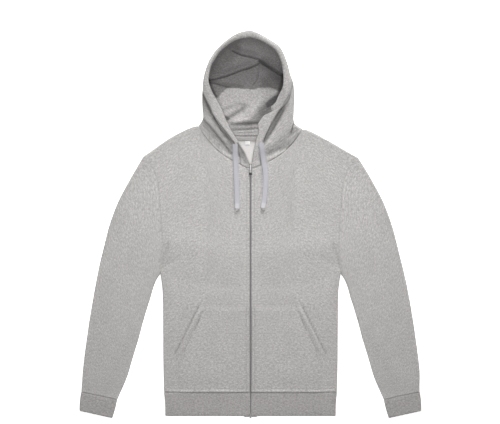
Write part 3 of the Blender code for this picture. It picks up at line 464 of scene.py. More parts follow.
def straight(start, end):
    first, last = np.array(start, float), np.array(end, float)
    return lambda t: first + (last - first) * np.asarray(t, float)[..., None]


def bent(start, pull, end):
    first, control, last = (np.array(point, float) for point in (start, pull, end))

    def at(t):
        t = np.asarray(t, float)[..., None]
        return first * (1 - t) ** 2 + control * (2 * t * (1 - t)) + last * t ** 2

    return at


def joined(first, share, second):
    def at(t):
        t = np.asarray(t, float)
        low = first(np.minimum(t / share, 1.0))
        high = second(np.maximum((t - share) / (1 - share), 0.0))
        return np.where((t < share)[..., None], low, high)

    return at


def coons(bottom, top, inner, outer, across, along):
    """Plan grid (along, across, 2) of the patch between four boundary curves."""
    a, b = across[None, :, None], along[:, None, None]
    corner = [curve(share) for curve in (bottom, top) for share in (0.0, 1.0)]
    corners = (corner[0] * (1 - a) + corner[1] * a) * (1 - b) + (corner[2] * (1 - a) + corner[3] * a) * b
    return (bottom(across)[None] * (1 - b) + top(across)[None] * b
            + inner(along)[:, None] * (1 - a) + outer(along)[:, None] * a - corners)


def sampled(path):
    return path(np.linspace(0, 1, CURVE_STEPS + 1))


def stops(length, low, high, step):
    """Shares of a length: metres given at both ends, and even steps between."""
    start, end = low[-1], length - high[-1]
    inside = np.linspace(start, end, max(int(round((end - start) / step)), 1) + 1)[1:-1]
    return np.concatenate([low, inside, length - np.array(high)[::-1]]) / length


def smoothstep(value, low, high):
    t = np.clip((value - low) / (high - low), 0.0, 1.0)
    return t * t * (3 - 2 * t)


def between(value, rise, fall):
    return smoothstep(value, *rise) * (1 - smoothstep(value, *fall))


def hill(value, at, width):
    """1 at a value, and next to nothing two widths to either side of it."""
    return np.exp(-((value - at) / width) ** 2)


def lifted(plan, height):
    """Points over the plan, at the given height."""
    return np.concatenate([plan, height[..., None]], axis=-1)


def polyline_distance(plan, line):
    """Distance from each plan point to a polyline."""
    flat = plan.reshape(-1, 2)
    start, run = line[:-1], np.diff(line, axis=0)
    size = np.maximum((run ** 2).sum(1), 1e-12)
    found = np.empty(len(flat))
    for k in range(0, len(flat), CHUNK):
        away = flat[k:k + CHUNK, None] - start[None]
        share = np.clip((away * run[None]).sum(2) / size, 0.0, 1.0)
        found[k:k + CHUNK] = np.sqrt(((away - run[None] * share[..., None]) ** 2).sum(2).min(1))
    return found.reshape(plan.shape[:-1])


ARM_FOLD, CUFF_FOLD = (smooth_path([row[:2] for row in table]) for table in (SLEEVE, CUFF))
ARM_UNDER, CUFF_UNDER = (smooth_path([row[2:4] for row in table]) for table in (SLEEVE, CUFF))
FRONT_NECK = bent((FRONT_EDGE_X, FRONT_NECK_Y), NECK_PULL, NECK_POINT)
BACK_NECK = bent((0.0, BACK_NECK_Y), BACK_NECK_PULL, NECK_POINT)
ARMHOLE_CURVE = smooth_path(ARMHOLE)
SHOULDER_CURVE = smooth_path(SHOULDER)
SIDE_CURVE = smooth_path(SIDE_SEAM)
UNDERARM_SHARE = 0.5           # of a panel's outer edge, where the side turns into the armhole
SIDE_EDGE = joined(SIDE_CURVE, UNDERARM_SHARE, ARMHOLE_CURVE)
OUTER_FOLD = np.vstack([sampled(SHOULDER_CURVE), sampled(ARM_FOLD)[1:], sampled(CUFF_FOLD)[1:]])
INNER_FOLD = np.vstack([
    np.vstack([sampled(ARM_UNDER), sampled(CUFF_UNDER)[1:]])[::-1],
    sampled(SIDE_CURVE)[::-1][1:],
    [(HEM_HALF_WIDTH, HEM_SEAM_Y - 0.008), (HEM_HALF_WIDTH, HEM_END_Y - 0.02)],
])
NECK_LINE = sampled(FRONT_NECK)
CUFF_LINE = np.array([CUFF[0][:2], CUFF[0][2:4]])


def right_half(plan):
    """The plan points folded onto the garment's right half."""
    return np.stack([np.abs(plan[..., 0]), plan[..., 1]], axis=-1)


def fold_distance(plan):
    half = right_half(plan)
    return np.minimum(polyline_distance(half, OUTER_FOLD), polyline_distance(half, INNER_FOLD))


def laid(layer, distance):
    """Height of the outer surface, by the distance to a fold: layer 1 is the top one, -1 the bottom."""
    inset = FOLD_RADIUS - np.minimum(distance, FOLD_RADIUS)
    return FOLD_RADIUS + layer * np.sqrt(np.maximum(FOLD_RADIUS ** 2 - inset ** 2, 0.0))


# ---------------------------------------------------------------- folds and shade, from the picture
# A fold is a soft ridge (or, with a negative height, a trough) along a curve through points of the
# picture, in pixels. "height", and the widths of the flanks on the curve's left and right, are in
# millimetres: one wide flank and one narrow one make a step.
Fold = namedtuple("Fold", "line height left right")
BODY_FOLDS = [
    # pinched cloth at the underarms
    Fold(((169, 240), (166, 252), (162, 263), (159, 273)), -3.2, 10, 12),
    Fold(((333, 240), (335, 252), (338, 263), (341, 273)), -3.2, 12, 10),
    Fold(((160, 270), (172, 262), (186, 256)), -1.0, 14, 12),
    Fold(((340, 270), (328, 262), (314, 256)), -1.0, 12, 14),
    # the chest stands out, and falls away below an arc from underarm to underarm
    Fold(((158, 242), (180, 246), (205, 250.5), (229, 254.6), (252, 257.5)), 2.2, 60, 75),
    Fold(((343, 242), (320, 246), (295, 250.5), (271, 253.6), (249, 255.5)), 2.2, 75, 60),
    Fold(((158, 276), (192, 281), (220, 285.5), (250, 286)), -0.5, 10, 14),
    Fold(((343, 275), (308, 281), (282, 285), (252, 285)), -0.5, 14, 10),
    # soft rumples of the lower front, seen through the pockets
    Fold(((204, 352), (214, 360), (226, 364)), -0.6, 16, 20),
    Fold(((298, 350), (288, 359), (276, 364)), -0.6, 20, 16),
    Fold(((210, 340), (219, 347), (222, 356)), 0.5, 14, 18),
    Fold(((292, 338), (283, 346), (280, 355)), 0.5, 18, 14),
    # sleeves: elbow, and slack above the cuffs
    Fold(((112, 222), (122, 214), (134, 212)), 0.9, 14, 18),
    Fold(((392, 222), (382, 214), (370, 212)), 0.9, 18, 14),
    Fold(((104, 268), (122, 276), (140, 276)), -0.5, 20, 26),
    Fold(((400, 268), (382, 276), (362, 276)), -0.5, 26, 20),
    Fold(((96, 306), (112, 314), (132, 312)), 0.45, 24, 20),
    Fold(((408, 306), (390, 314), (368, 312)), 0.45, 20, 24),
    Fold(((88, 352), (102, 360), (120, 358)), -0.5, 18, 22),
    Fold(((416, 350), (400, 358), (382, 356)), -0.5, 22, 18),
    Fold(((93, 390), (96, 380), (97, 368)), 0.45, 7, 9),
    Fold(((104, 393), (107, 382), (108, 370)), -0.4, 7, 9),
    Fold(((404, 390), (402, 380), (400, 368)), 0.45, 9, 7),
    Fold(((393, 393), (391, 382), (389, 370)), -0.4, 9, 7),
    # shoulders
    Fold(((176, 150), (190, 164), (200, 182)), 0.5, 24, 20),
    Fold(((322, 150), (308, 164), (299, 182)), 0.5, 20, 24),
]
# Painted shade: cloth that light hardly reaches is painted darker than its dye, and a share above 1
# paints a highlight. Each is a line or outline in pixels, the share of the colour that is left, how
# softly each one ends, and the half width of a line. An outline has none. Those of the body hold for
# both halves, and are given on the right one.
Dim = namedtuple("Dim", "line share blur width", defaults=(None,))
BODY_DIMS = [
    Dim(((334, 248), (337.5, 261), (342, 276)), 0.88, 9, 2),
    Dim(((340, 241), (320, 245.5), (295, 250.5), (271, 254), (250.5, 257.5), (250.5, 286), (271, 285.5),
        (295, 282), (320, 279), (342, 274)), 0.98, 5),
    Dim(((336, 286), (337.5, 340), (338.5, 398)), 0.94, 14, 6),
    Dim(((240, 298), (331, 298), (334, 387), (240, 387)), 0.945, 16),
    Dim(((296, 126), (335, 142), (352, 149), (366, 169), (380, 194), (390, 220)), 0.91, 26, 7),
    Dim(((300, 138), (335, 148), (356, 160), (362, 178), (340, 172), (312, 164)), 0.958, 18),
    Dim(((370, 338), (379, 358), (391, 382), (399, 398)), 0.955, 14, 3),
]
# painted shade in the gap just outside each pocket's slanted opening
SLANT_DIM = [Dim(((301.9, 305), (313.8, 329.5), (325.6, 353)), 0.62, 2, 0.6)]
# painted shadow of each cord on the front, along its left edge
CORD_DIMS = [
    Dim(((232.9, 158), (233.2, 170), (233.6, 200), (234.0, 207)), 0.8, 1.8, 0.4),
    Dim(((260.0, 156), (261.4, 168), (262.4, 184), (261.5, 196)), 0.74, 1.8, 0.4),
]
# a painted highlight along the top of each pocket's slanted corner, with painted shade just above it
POCKET_CORNER_DIMS = [
    Dim(((294, 307.6), (300.5, 307.6)), 1.16, 1.4, 0.3),
    Dim(((296, 305.2), (300.5, 305.2)), 0.86, 1.6, 0.3),
]
SWELL = 0.0010                 # how far the cloth stands off its flat lie, away from folds and seams
FOLD_STEPS = 24
FOLD_TAPER = 0.22              # share of a fold's line over which it rises from nothing


def fold_relief(plan, table):
    """Sum of a table's folds over plan points, in metres."""
    flat = plan.reshape(-1, 2)
    total = np.zeros(len(flat))
    for fold in table:
        path = smooth_path([picture_point(*pixel) for pixel in fold.line])
        curve = path(np.linspace(0, 1, FOLD_STEPS + 1))
        reach = max(fold.left, fold.right) / 1000
        inside = np.nonzero(((flat > curve.min(0) - reach) & (flat < curve.max(0) + reach)).all(1))[0]
        if not len(inside):
            continue
        start, run = curve[:-1], np.diff(curve, axis=0)
        away = flat[inside, None] - start[None]
        share = np.clip((away * run[None]).sum(2) / np.linalg.norm(run, axis=1) ** 2, 0.0, 1.0)
        gap = away - run[None] * share[..., None]
        distance = np.linalg.norm(gap, axis=2)
        nearest, row = distance.argmin(1), np.arange(len(inside))
        distance, share = distance[row, nearest], (nearest + share[row, nearest]) / len(run)
        side = (run[nearest] * gap[row, nearest][:, ::-1] * (1.0, -1.0)).sum(1)
        near = 1 - smoothstep(distance, 0.0, np.where(side > 0, fold.left, fold.right) / 1000)
        taper = smoothstep(share, 0.0, FOLD_TAPER) * smoothstep(1 - share, 0.0, FOLD_TAPER)
        total[inside] += fold.height / 1000 * taper * near
    return total.reshape(plan.shape[:-1])


def dimming(plan, table):
    """What cloth keeps of its colour at each plan point, under a table's painted shade and highlights."""
    keeps = np.ones(plan.shape[:-1])
    for dim in table:
        line = np.array([picture_point(*pixel) for pixel in dim.line])
        if dim.width is None:
            distance = polyline_distance(plan, np.vstack([line, line[:1]]))
            inside = np.zeros(plan.shape[:-1], bool)
            for (x0, y0), (x1, y1) in zip(line, np.roll(line, -1, axis=0)):
                crosses = (y0 > plan[..., 1]) != (y1 > plan[..., 1])
                slope = (x1 - x0) / (y1 - y0) if y1 != y0 else 0.0
                inside ^= crosses & (plan[..., 0] < x0 + (plan[..., 1] - y0) * slope)
            distance = np.where(inside, -distance, distance)
        else:
            distance = polyline_distance(plan, line)
        start = ((dim.width or 0.0) - dim.blur / 2) * PIXEL
        keeps *= 1 - (1 - dim.share) * (1 - smoothstep(distance, start, start + dim.blur * PIXEL))
    return keeps


def top_relief(plan, distance):
    """How far the top layer stands above its flat lie: swell and folds, calm near seams."""
    half = right_half(plan)
    x, y = half[..., 0], half[..., 1]
    clear_of_cords = smoothstep(x, 0.050, 0.120)
    clear = clear_of_cords * smoothstep(y - HEM_SEAM_Y, 0.002, 0.045)
    clear *= smoothstep(polyline_distance(half, NECK_LINE), 0.004, 0.045)
    clear *= 0.25 + 0.75 * smoothstep(polyline_distance(half, CUFF_LINE), 0.0, 0.06)
    calm = smoothstep(distance, 0.002, 0.016) * smoothstep(x, 0.006, 0.030)
    calm *= np.maximum(smoothstep(x, 0.045, 0.070), smoothstep(0.04 - y, 0.0, 0.04))
    return SWELL * smoothstep(distance, 0.0, 0.075) * clear + fold_relief(plan, BODY_FOLDS) * calm


def seam_relief(distance, dive=0.0003, stitch=None, groove=0.0003):
    """Cloth by a seam: it dives into the seam, and sinks under its row of stitches."""
    lift = -dive * hill(distance, 0.0, 0.0016)
    if stitch:
        lift -= groove * hill(distance, stitch, 0.0009)
        lift += 0.35 * groove * hill(distance, stitch / 2, stitch / 3)
    return lift


def stitch_dim(distance, stitch):
    """Painted shade: what cloth keeps of its colour in the groove along a row of stitches."""
    return 1 - 0.17 * hill(distance, stitch, 0.0012)


def hem_ridge(from_hem):
    """Cloth standing up along the hem seam, between the seam and its stitches."""
    return 0.00035 * hill(from_hem, 0.0036, 0.0019) - 0.0003 * hill(from_hem, 0.0078, 0.002)


# ---------------------------------------------------------------- meshes
def add_mesh(name, vertices, faces, materials, smooth=True, uv=None, slots=None):
    """An object in the scene. uv is given by face corner, slots by face."""
    mesh = bpy.data.meshes.new(name)
    mesh.from_pydata(np.asarray(vertices, float).tolist(), [], faces)
    for material in materials:
        mesh.materials.append(GREY.get(material, material))
    if uv is not None:
        layer = mesh.uv_layers.new(name="cloth")
        layer.data.foreach_set("uv", np.asarray(uv, np.float32).ravel())
    if slots is not None:
        mesh.polygons.foreach_set("material_index", slots)
    mesh.polygons.foreach_set("use_smooth", [smooth] * len(mesh.polygons))
    return place(name, mesh)


def sewn(obj, node=None):
    """The piece rides on the garment, and stands for a CAD node if one is given."""
    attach(obj, "garment")
    if node:
        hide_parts(node)


# How the photographed garment lies off its symmetrical form
SHOULDER_TILT = 0.030          # drop of the right shoulder for each metre from the middle
ZIP_DROP = 0.0042              # the tops of the fronts lie lower beside the zip
ARM_OUT_RIGHT, ARM_OUT_LEFT = 0.0038, -0.0028  # metres that the arms lie to the right
HEM_RAISE = 0.0046


def settle(points):
    """Lays the symmetrical garment as the photographed one lies: one shoulder a little higher."""
    x, y, z = (points[..., k] for k in range(3))
    width = np.abs(x)
    at_shoulders = between(y, (0.06, 0.19), (0.27, 0.33)) * (1 - smoothstep(width, 0.17, 0.30))
    at_zip = (1 - smoothstep(width, 0.006, 0.040)) * smoothstep(z, 0.0045, 0.0060)
    down = SHOULDER_TILT * x * at_shoulders
    down = down + ZIP_DROP * at_zip * between(y, (0.128, 0.143), (0.152, 0.185))
    from_under = width - 0.234 - 0.327 * np.maximum(-0.135 - y, 0.0)
    outer = smoothstep(from_under, 0.0, 0.07) * smoothstep(y, -0.42, -0.36)
    out = np.where(x > 0, ARM_OUT_RIGHT * (1 - 0.7 * hill(y, -0.07, 0.06)),
                   ARM_OUT_LEFT * smoothstep(y, -0.06, 0.02))
    raised = HEM_RAISE * hill(y, HEM_SEAM_Y, 0.034) * (1 - smoothstep(width, 0.225, 0.300))
    return points + np.stack([out * outer, raised - down, 0.0 * x], axis=-1)


def closed(grid):
    """The grid of a ring with its first column again at the end."""
    return np.concatenate([grid, grid[:, :1]], axis=1)


def quads_of(grid):
    """The corners of a grid's cells."""
    return np.stack([grid[:-1, :-1], grid[:-1, 1:], grid[1:, 1:], grid[1:, :-1]], axis=2)


def grid_normals(points, ring=False):
    if ring:
        across = np.roll(points, -1, axis=1) - np.roll(points, 1, axis=1)
    else:
        across = np.gradient(points, axis=1)
    return unit(np.cross(across, np.gradient(points, axis=0)))


def cloth_uv(points):
    """Arc lengths across and along the grid, in metres."""
    u, v = (np.concatenate([[0.0], np.cumsum(np.linalg.norm(np.diff(points, axis=k), axis=2).mean(1 - k))])
            for k in (1, 0))
    return np.stack(np.broadcast_arrays(u[None, :], v[:, None]), axis=-1)


def shell(node, points, kind, name=None, wall=CLOTH_WALL, flip=False, ring=False, lining=None,
          soften=0.3, inner_relief=0.0, shade=1.0, inner_shade=None):
    """A closed thin shell. The grid is its outer surface, the inner one lies a wall further in."""
    points = settle(points)
    outward = grid_normals(points, ring) * (-1.0 if flip else 1.0)
    outer, inner = points.copy(), points - outward * (wall + np.asarray(inner_relief)[..., None])
    for rim in (np.s_[:1], np.s_[-1:]) + (() if ring else (np.s_[:, :1], np.s_[:, -1:])):
        outer[rim] -= outward[rim] * wall * soften
        inner[rim] += outward[rim] * wall * soften
    count = points[..., 0].size
    index = np.arange(count).reshape(points.shape[:2])
    index, uv = (closed(index), cloth_uv(closed(points))) if ring else (index, cloth_uv(points))
    quads, corners = quads_of(index).reshape(-1, 4), quads_of(uv).reshape(-1, 4, 2)
    faces, uvs = [quads, quads[:, ::-1] + count], [corners, corners[:, ::-1]]
    for border in (np.s_[0], np.s_[-1, ::-1]) + (() if ring else (np.s_[:, -1], np.s_[::-1, 0])):
        line, line_uv = index[border], uv[border]
        a, b = line[:-1], line[1:]
        faces.append(np.stack([b, a, a + count, b + count], axis=-1))
        uvs.append(np.stack([line_uv[1:], line_uv[:-1], line_uv[:-1], line_uv[1:]], axis=1))
    faces, uvs = np.concatenate(faces), np.concatenate(uvs)
    if flip:
        faces, uvs = faces[:, ::-1], uvs[:, ::-1]
    vertices = np.concatenate([outer.reshape(-1, 3), inner.reshape(-1, 3)])
    vertices[:, 2] = np.maximum(vertices[:, 2], 0.0)
    slots = np.zeros(len(faces), np.int32)
    slots[len(quads):2 * len(quads)] = 1 if lining else 0
    obj = add_mesh(name or node + "_cloth", vertices, faces.tolist(), [kind, lining] if lining else [kind],
                   uv=uvs, slots=slots)
    shade = np.broadcast_to(shade, points.shape[:2])
    shades = np.stack([shade, shade if inner_shade is None else inner_shade])
    layer = obj.data.attributes.new("shade", "FLOAT", "POINT")
    layer.data.foreach_set("value", shades.astype(np.float32).ravel())
    sewn(obj, node)


THREAD_RADIUS = 0.00034
STITCH_PITCH = 0.0031
STITCH_LENGTH = 0.0024
THREAD_RINGS = [(-1.0, 0.35), (-0.62, 1.0), (0.62, 1.0), (1.0, 0.35)]   # (along, radius) shares
THREAD_SIDES = 5
ON_TOP = (0.0, 0.0, THREAD_RADIUS * 0.4)       # a thread's middle above the cloth


def resample(line):
    """Points a stitch's pitch apart along a polyline, with the directions there."""
    lengths = arc_lengths(line)
    count = max(int(lengths[-1] / STITCH_PITCH), 1)
    at = (np.arange(count) + 0.5) * lengths[-1] / count
    run = on_line(line, lengths, at + 1e-4) - on_line(line, lengths, at - 1e-4)
    return on_line(line, lengths, at), unit(run)


def stitches(name, lines):
    """Rows of short thread stitches along the given lines, as one mesh."""
    places, runs = (np.concatenate(parts) for parts in zip(*(
        resample(settle(np.asarray(line, float))) for line in lines)))
    side = unit(np.cross(runs, UP))
    over = np.cross(side, runs)
    rings = []
    for along, share in THREAD_RINGS:
        for k in range(THREAD_SIDES):
            turn = 2 * math.pi * k / THREAD_SIDES
            radial = side * math.cos(turn) + over * math.sin(turn)
            rings.append(places + runs * (along * STITCH_LENGTH / 2) + radial * (THREAD_RADIUS * share))
    last = len(rings) - THREAD_SIDES
    faces = []
    for ring in range(0, last, THREAD_SIDES):
        for k in range(THREAD_SIDES):
            a, b = ring + k, ring + (k + 1) % THREAD_SIDES
            faces.append((a, b, b + THREAD_SIDES, a + THREAD_SIDES))
    faces += [(0, 4, 3, 2), (0, 2, 1), (last, last + 1, last + 2, last + 3), (last, last + 3, last + 4)]
    starts = range(0, len(places) * len(rings), len(rings))
    obj = add_mesh(name, np.stack(rings, axis=1).reshape(-1, 3),
                   [[start + i for i in face] for start in starts for face in faces], ["thread"])
    sewn(obj)


# ---------------------------------------------------------------- body
ROLL = FOLD_RADIUS * (1 - np.cos(np.radians([14, 20, 30, 42, 55, 70, 90])))
SEAM_STOPS = [0.0002, 0.0007, 0.0013, 0.0022, 0.0034, 0.0044, 0.0050, 0.0056, 0.0066, 0.0085, 0.0110]
ZIP_STOPS = [0.0, 0.0006, 0.0013, 0.0024, 0.0040, 0.0062, 0.0085, 0.0096, 0.0103, 0.0110, 0.0121,
             0.0140, 0.0170, 0.0200]
ZIP_STITCH = 0.0085
SEAM_STITCH = 0.0050
STEP = 0.0042
BACK_STEP = 0.0055
FRONT_SIZE, BACK_SIZE = (0.205, 0.60), (0.22, 0.62)    # about what the panels measure, for their stops
FRONT_NECK_SHARE, BACK_NECK_SHARE = 0.44, 0.488        # of a panel's top edge
CLOSED_EDGE_X = 0.0005         # above the slider the edges of both fronts nearly touch


def front_plan():
    """Plan grid of the right-hand front, from the zip to the side and from the hem up."""
    start_x = FRONT_EDGE_X + ZIP_STOPS[-1]
    shares = np.linspace(0, 1, len(NECK_LINE))
    first = np.interp(start_x, NECK_LINE[:, 0], shares)
    start = (start_x, FRONT_NECK(first)[1])
    top = joined(lambda t: FRONT_NECK(first + (1 - first) * np.asarray(t)), FRONT_NECK_SHARE, SHOULDER_CURVE)
    width, height = FRONT_SIZE
    outer_stops = np.concatenate([ROLL, [0.0048, 0.0056, 0.0066, 0.0085, 0.0110]])
    top_stops = np.concatenate([ROLL, [0.0050, 0.0064, 0.0085, 0.0110]])
    low = (start_x, HEM_SEAM_Y)
    patch = coons(straight(low, SIDE_SEAM[0]), top, straight(low, start), SIDE_EDGE,
                  stops(width, [0.0], outer_stops, STEP), stops(height, SEAM_STOPS, top_stops, STEP))
    strip_x = FRONT_EDGE_X + np.array(ZIP_STOPS[:-1])
    strip_top = FRONT_NECK(np.interp(strip_x, NECK_LINE[:, 0], shares))[:, 1]
    part = (patch[:, 0, 1] - HEM_SEAM_Y) / (start[1] - HEM_SEAM_Y)
    strip_y = HEM_SEAM_Y + part[:, None] * (strip_top - HEM_SEAM_Y)[None]
    return np.concatenate([np.stack([np.broadcast_to(strip_x, strip_y.shape), strip_y], axis=-1), patch],
                          axis=1)


def grid_distances(plan):
    """Distances along the grid to its four borders: first and last row, first and last column."""
    along = np.linalg.norm(np.diff(plan, axis=0), axis=2)
    across = np.linalg.norm(np.diff(plan, axis=1), axis=2)
    up = np.concatenate([np.zeros((1, plan.shape[1])), np.cumsum(along, axis=0)])
    over = np.concatenate([np.zeros((plan.shape[0], 1)), np.cumsum(across, axis=1)], axis=1)
    return up, up[-1] - up, over, over[:, -1:] - over


def closed_at_top(plan):
    """The plan points of the right half, drawn to the middle above the slider."""
    x, y = plan[..., 0], plan[..., 1]
    pull = between(y, (0.126, 0.137), (0.147, 0.170)) * (1 - smoothstep(x, FRONT_EDGE_X, 0.014))
    return np.stack([x - (FRONT_EDGE_X - CLOSED_EDGE_X) * pull, y], axis=-1)


def front_panels():
    plan = front_plan()
    from_hem, from_top, from_zip, from_side = grid_distances(plan)
    plan = closed_at_top(plan)
    neck_share = smoothstep(NECK_POINT[0] + 0.004 - plan[-1:, :, 0], 0.0, 0.010)
    armhole = smoothstep(plan[..., 1] - UNDERARM[1], -0.004, 0.004)
    detail = seam_relief(from_hem) + hem_ridge(from_hem)
    detail += seam_relief(from_top, 0.0006) * neck_share + seam_relief(from_side) * armhole
    detail += seam_relief(from_zip, 0.0005, ZIP_STITCH, 0.0004)
    keeps = dimming(plan, BODY_DIMS) * dimming(plan, SLANT_DIM) * stitch_dim(from_zip, ZIP_STITCH)
    # painted highlight on the cloth just outside the zip's row of stitches
    keeps *= 1 + 0.05 * hill(from_zip, ZIP_STITCH + 0.0026, 0.0016)
    # painted shadow along both sides of the zip's pull, from the slider up
    keeps *= 1 - 0.35 * smoothstep(plan[..., 1], 0.130, 0.134) * hill(plan[..., 0], 0.0038, 0.0010)
    zip_column, hem_row = ZIP_STOPS.index(ZIP_STITCH), SEAM_STOPS.index(SEAM_STITCH)
    lines = []
    for side, letter in SIDES:
        placed = plan * (side, 1.0)
        distance = fold_distance(placed)
        fade = smoothstep(distance, 0.0, FOLD_RADIUS)
        points = lifted(placed, laid(1, distance) + top_relief(placed, distance) + detail * fade)
        shell("front_panel_" + letter, points, "knit", flip=side < 0, lining="fleece", soften=0.12,
              shade=keeps * dimming(placed, CORD_DIMS))
        lines += [points[2:-6, zip_column] + ON_TOP, points[hem_row, 3:-8] + ON_TOP]
    stitches("body_stitching", lines)


def back_panel():
    """The bottom layer. Its outer surface rests on the floor, and its inside is brushed."""
    width, height = BACK_SIZE
    side_stops = np.concatenate([ROLL, [0.0060, 0.0090]])
    right = coons(straight((0.0, HEM_SEAM_Y), SIDE_SEAM[0]),
                  joined(BACK_NECK, BACK_NECK_SHARE, SHOULDER_CURVE),
                  straight((0.0, HEM_SEAM_Y), (0.0, BACK_NECK_Y)), SIDE_EDGE,
                  stops(width, [0.0], side_stops, BACK_STEP),
                  stops(height, [0.0002, 0.002, 0.005], side_stops, BACK_STEP))
    plan = np.concatenate([(right * (-1.0, 1.0))[:, :0:-1], right], axis=1)
    shell("back_panel", lifted(plan, laid(-1, fold_distance(plan))), "knit", name="back_cloth",
          flip=True, lining="fleece", inner_shade=dimming(plan, NECK_DIMS))


HEM_END_SHOWN_Y = -0.4770
RIB_PITCH = 0.0029
RIB_HEIGHT = 0.00034
RIB_COLUMNS = 6                # grid columns to each rib
END_ROLL = 0.0030              # the length over which a rib's end rolls down
FACING_UP = -0.2               # the least height of a normal where ribs stand out
HEM_CORNER_STEPS = 18
HEM_DOWN = np.array([0.0002, 0.0008, 0.0016, 0.0028, 0.006, 0.012, 0.022, 0.034, 0.044, 0.049,
                     0.0515, 0.0530, 0.0540, 0.0546, 0.05485])
CUFF_LENGTH = 0.0485
CUFF_DOWN = np.array([0.0004, 0.0010, 0.0018, 0.0030, 0.006, 0.012, 0.020, 0.030, 0.040, 0.0440,
                      0.0462, 0.0474, 0.0481, 0.0484])


def even_columns(line, count, ring=False):
    """The polyline resampled to the given number of evenly spaced points."""
    lengths = arc_lengths(line)
    return on_line(line, lengths, np.linspace(0, lengths[-1], count, endpoint=not ring))


def ribbed(points, outward, length, down, end, dive, drop):
    """Rib knit: ridges round a length of cloth, its dive into the seam and the roll at its end."""
    columns = np.arange(points.shape[1])
    ridges = RIB_HEIGHT * np.cos(2 * math.pi * round(length / RIB_PITCH) * columns / len(columns))
    roll = -drop * (1 - np.sqrt(1 - np.clip(1 - (end - down) / END_ROLL, 0, 1) ** 2))
    lift = ridges[None] * smoothstep(down, 0.0, 0.004)[:, None]
    lift = (lift + seam_relief(down, dive)[:, None] + roll[:, None])[..., None]
    return points + outward * np.where(outward[..., 2:] > FACING_UP, lift, np.minimum(lift, 0.0))


def hem_rib():
    turn_x = HEM_HALF_WIDTH - FOLD_RADIUS
    angles = np.radians(np.linspace(0, 180, HEM_CORNER_STEPS + 1))
    corner = np.stack([turn_x + FOLD_RADIUS * np.sin(angles), FOLD_RADIUS * (1 + np.cos(angles))], axis=1)
    half = np.vstack([[(FRONT_EDGE_X, LAID_HEIGHT)], corner, [(0.0, 0.0)]])
    section = np.vstack([half, (half * (-1.0, 1.0))[-2::-1]])
    length = arc_lengths(section)[-1]
    section = even_columns(section, round(length / RIB_PITCH) * RIB_COLUMNS + 1)
    depth = HEM_SEAM_Y - SEAM_GAP / 2 - HEM_END_SHOWN_Y
    along = 1 - HEM_DOWN / depth
    flare = 1 + (SIDE_SEAM[0][0] / HEM_HALF_WIDTH - 1) * np.maximum(0.0, 2 * along - 1)
    x = section[None, :, 0] * flare[:, None]
    points = np.stack(np.broadcast_arrays(x, (HEM_END_SHOWN_Y + depth * along)[:, None],
                                          section[None, :, 1]), axis=-1)
    points = ribbed(points, -grid_normals(points), length, HEM_DOWN, depth, dive=0.0003, drop=0.0016)
    # painted shade where the rib dives into the hem seam
    shell("hem_rib", points, "rib", flip=True, soften=0.12,
          shade=1 - 0.12 * hill(HEM_DOWN, 0.0, 0.0016)[:, None])


# ---------------------------------------------------------------- sleeves
ARM_SIZE = (0.20, 0.58)        # about what a sleeve measures, for its stops
ARM_STEP = 0.0066
PLEATS = 7.5                   # gathers across a sleeve's end
CUFF_ROW = 7                   # the sleeve's row under the cuff's stitches, from its end


def arm_points(rows, folds, unders, downs, gap=0.0):
    """Closed sections down a flattened tube, as a grid (down, round, 3) on the right side."""
    width = ARM_SIZE[0]
    roll = FOLD_RADIUS * (1 - np.cos(np.radians([0, 18, 36, 54, 72, 90])))
    across = stops(width, roll, roll, ARM_STEP)
    bow = np.interp(downs * (len(rows) - 1), np.arange(len(rows)), [row.bow for row in rows])
    fold, under = folds(downs)[:, None], unders(downs)[:, None]
    # the close columns at both ends keep their width on every section
    knots, values = (np.concatenate([ends, 1 - ends[..., ::-1]], axis=-1) for ends in (
        roll / width, roll / np.linalg.norm(under - fold, axis=2)))
    local = np.stack([np.interp(across, knots, line) for line in values])
    share = local[..., None]
    plan = fold * (1 - share) + under * share
    chord = np.array(SHOULDER_POINT) * (1 - share) + np.array(UNDERARM) * share
    plan = plan + (ARMHOLE_CURVE(1 - local) - chord) * bow[:, None, None]
    plan[0, :, 0] += gap
    return plan


def arm_ring(plan, side, detail, creased):
    placed = plan * (side, 1.0)
    distance = fold_distance(placed)
    distance[:, (0, -1)] = 0.0
    high = laid(1, distance)
    if creased:
        high = high + top_relief(placed, distance)
    high = high + detail * smoothstep(distance, 0.0, FOLD_RADIUS)
    return np.concatenate([lifted(placed, high), lifted(placed, laid(-1, distance))[:, -2:0:-1]], axis=1)


def sleeves():
    downs = stops(ARM_SIZE[1], [0.0, 0.0006, 0.0013, 0.0022, 0.0034, 0.0050, 0.0070],
                  [0.0002, 0.0007, 0.0013, 0.0022, 0.0034, 0.0044, 0.0050, 0.0056, 0.0066, 0.0090], STEP)
    plan = arm_points(SLEEVE, ARM_FOLD, ARM_UNDER, downs, ARMHOLE_GAP)
    from_armhole, from_cuff = grid_distances(plan)[:2]
    pleat = np.sin(np.linspace(0, 1, plan.shape[1]) * 2 * math.pi * PLEATS + 0.8)
    gather = 0.00045 * pleat * hill(from_cuff, 0.0, 0.013) * (1 - hill(from_cuff, 0.0, 0.003))
    detail = seam_relief(from_armhole) + seam_relief(from_cuff, stitch=SEAM_STITCH) + gather
    lines = []
    for side, letter in SIDES:
        points = arm_ring(plan, side, detail, True)
        shell("sleeve_" + letter, points, "knit", flip=side < 0, ring=True, soften=0.12,
              shade=dimming(right_half(points), BODY_DIMS))
        lines.append(points[-CUFF_ROW, 4:plan.shape[1] - 4] + ON_TOP)
    stitches("sleeve_stitching", lines)


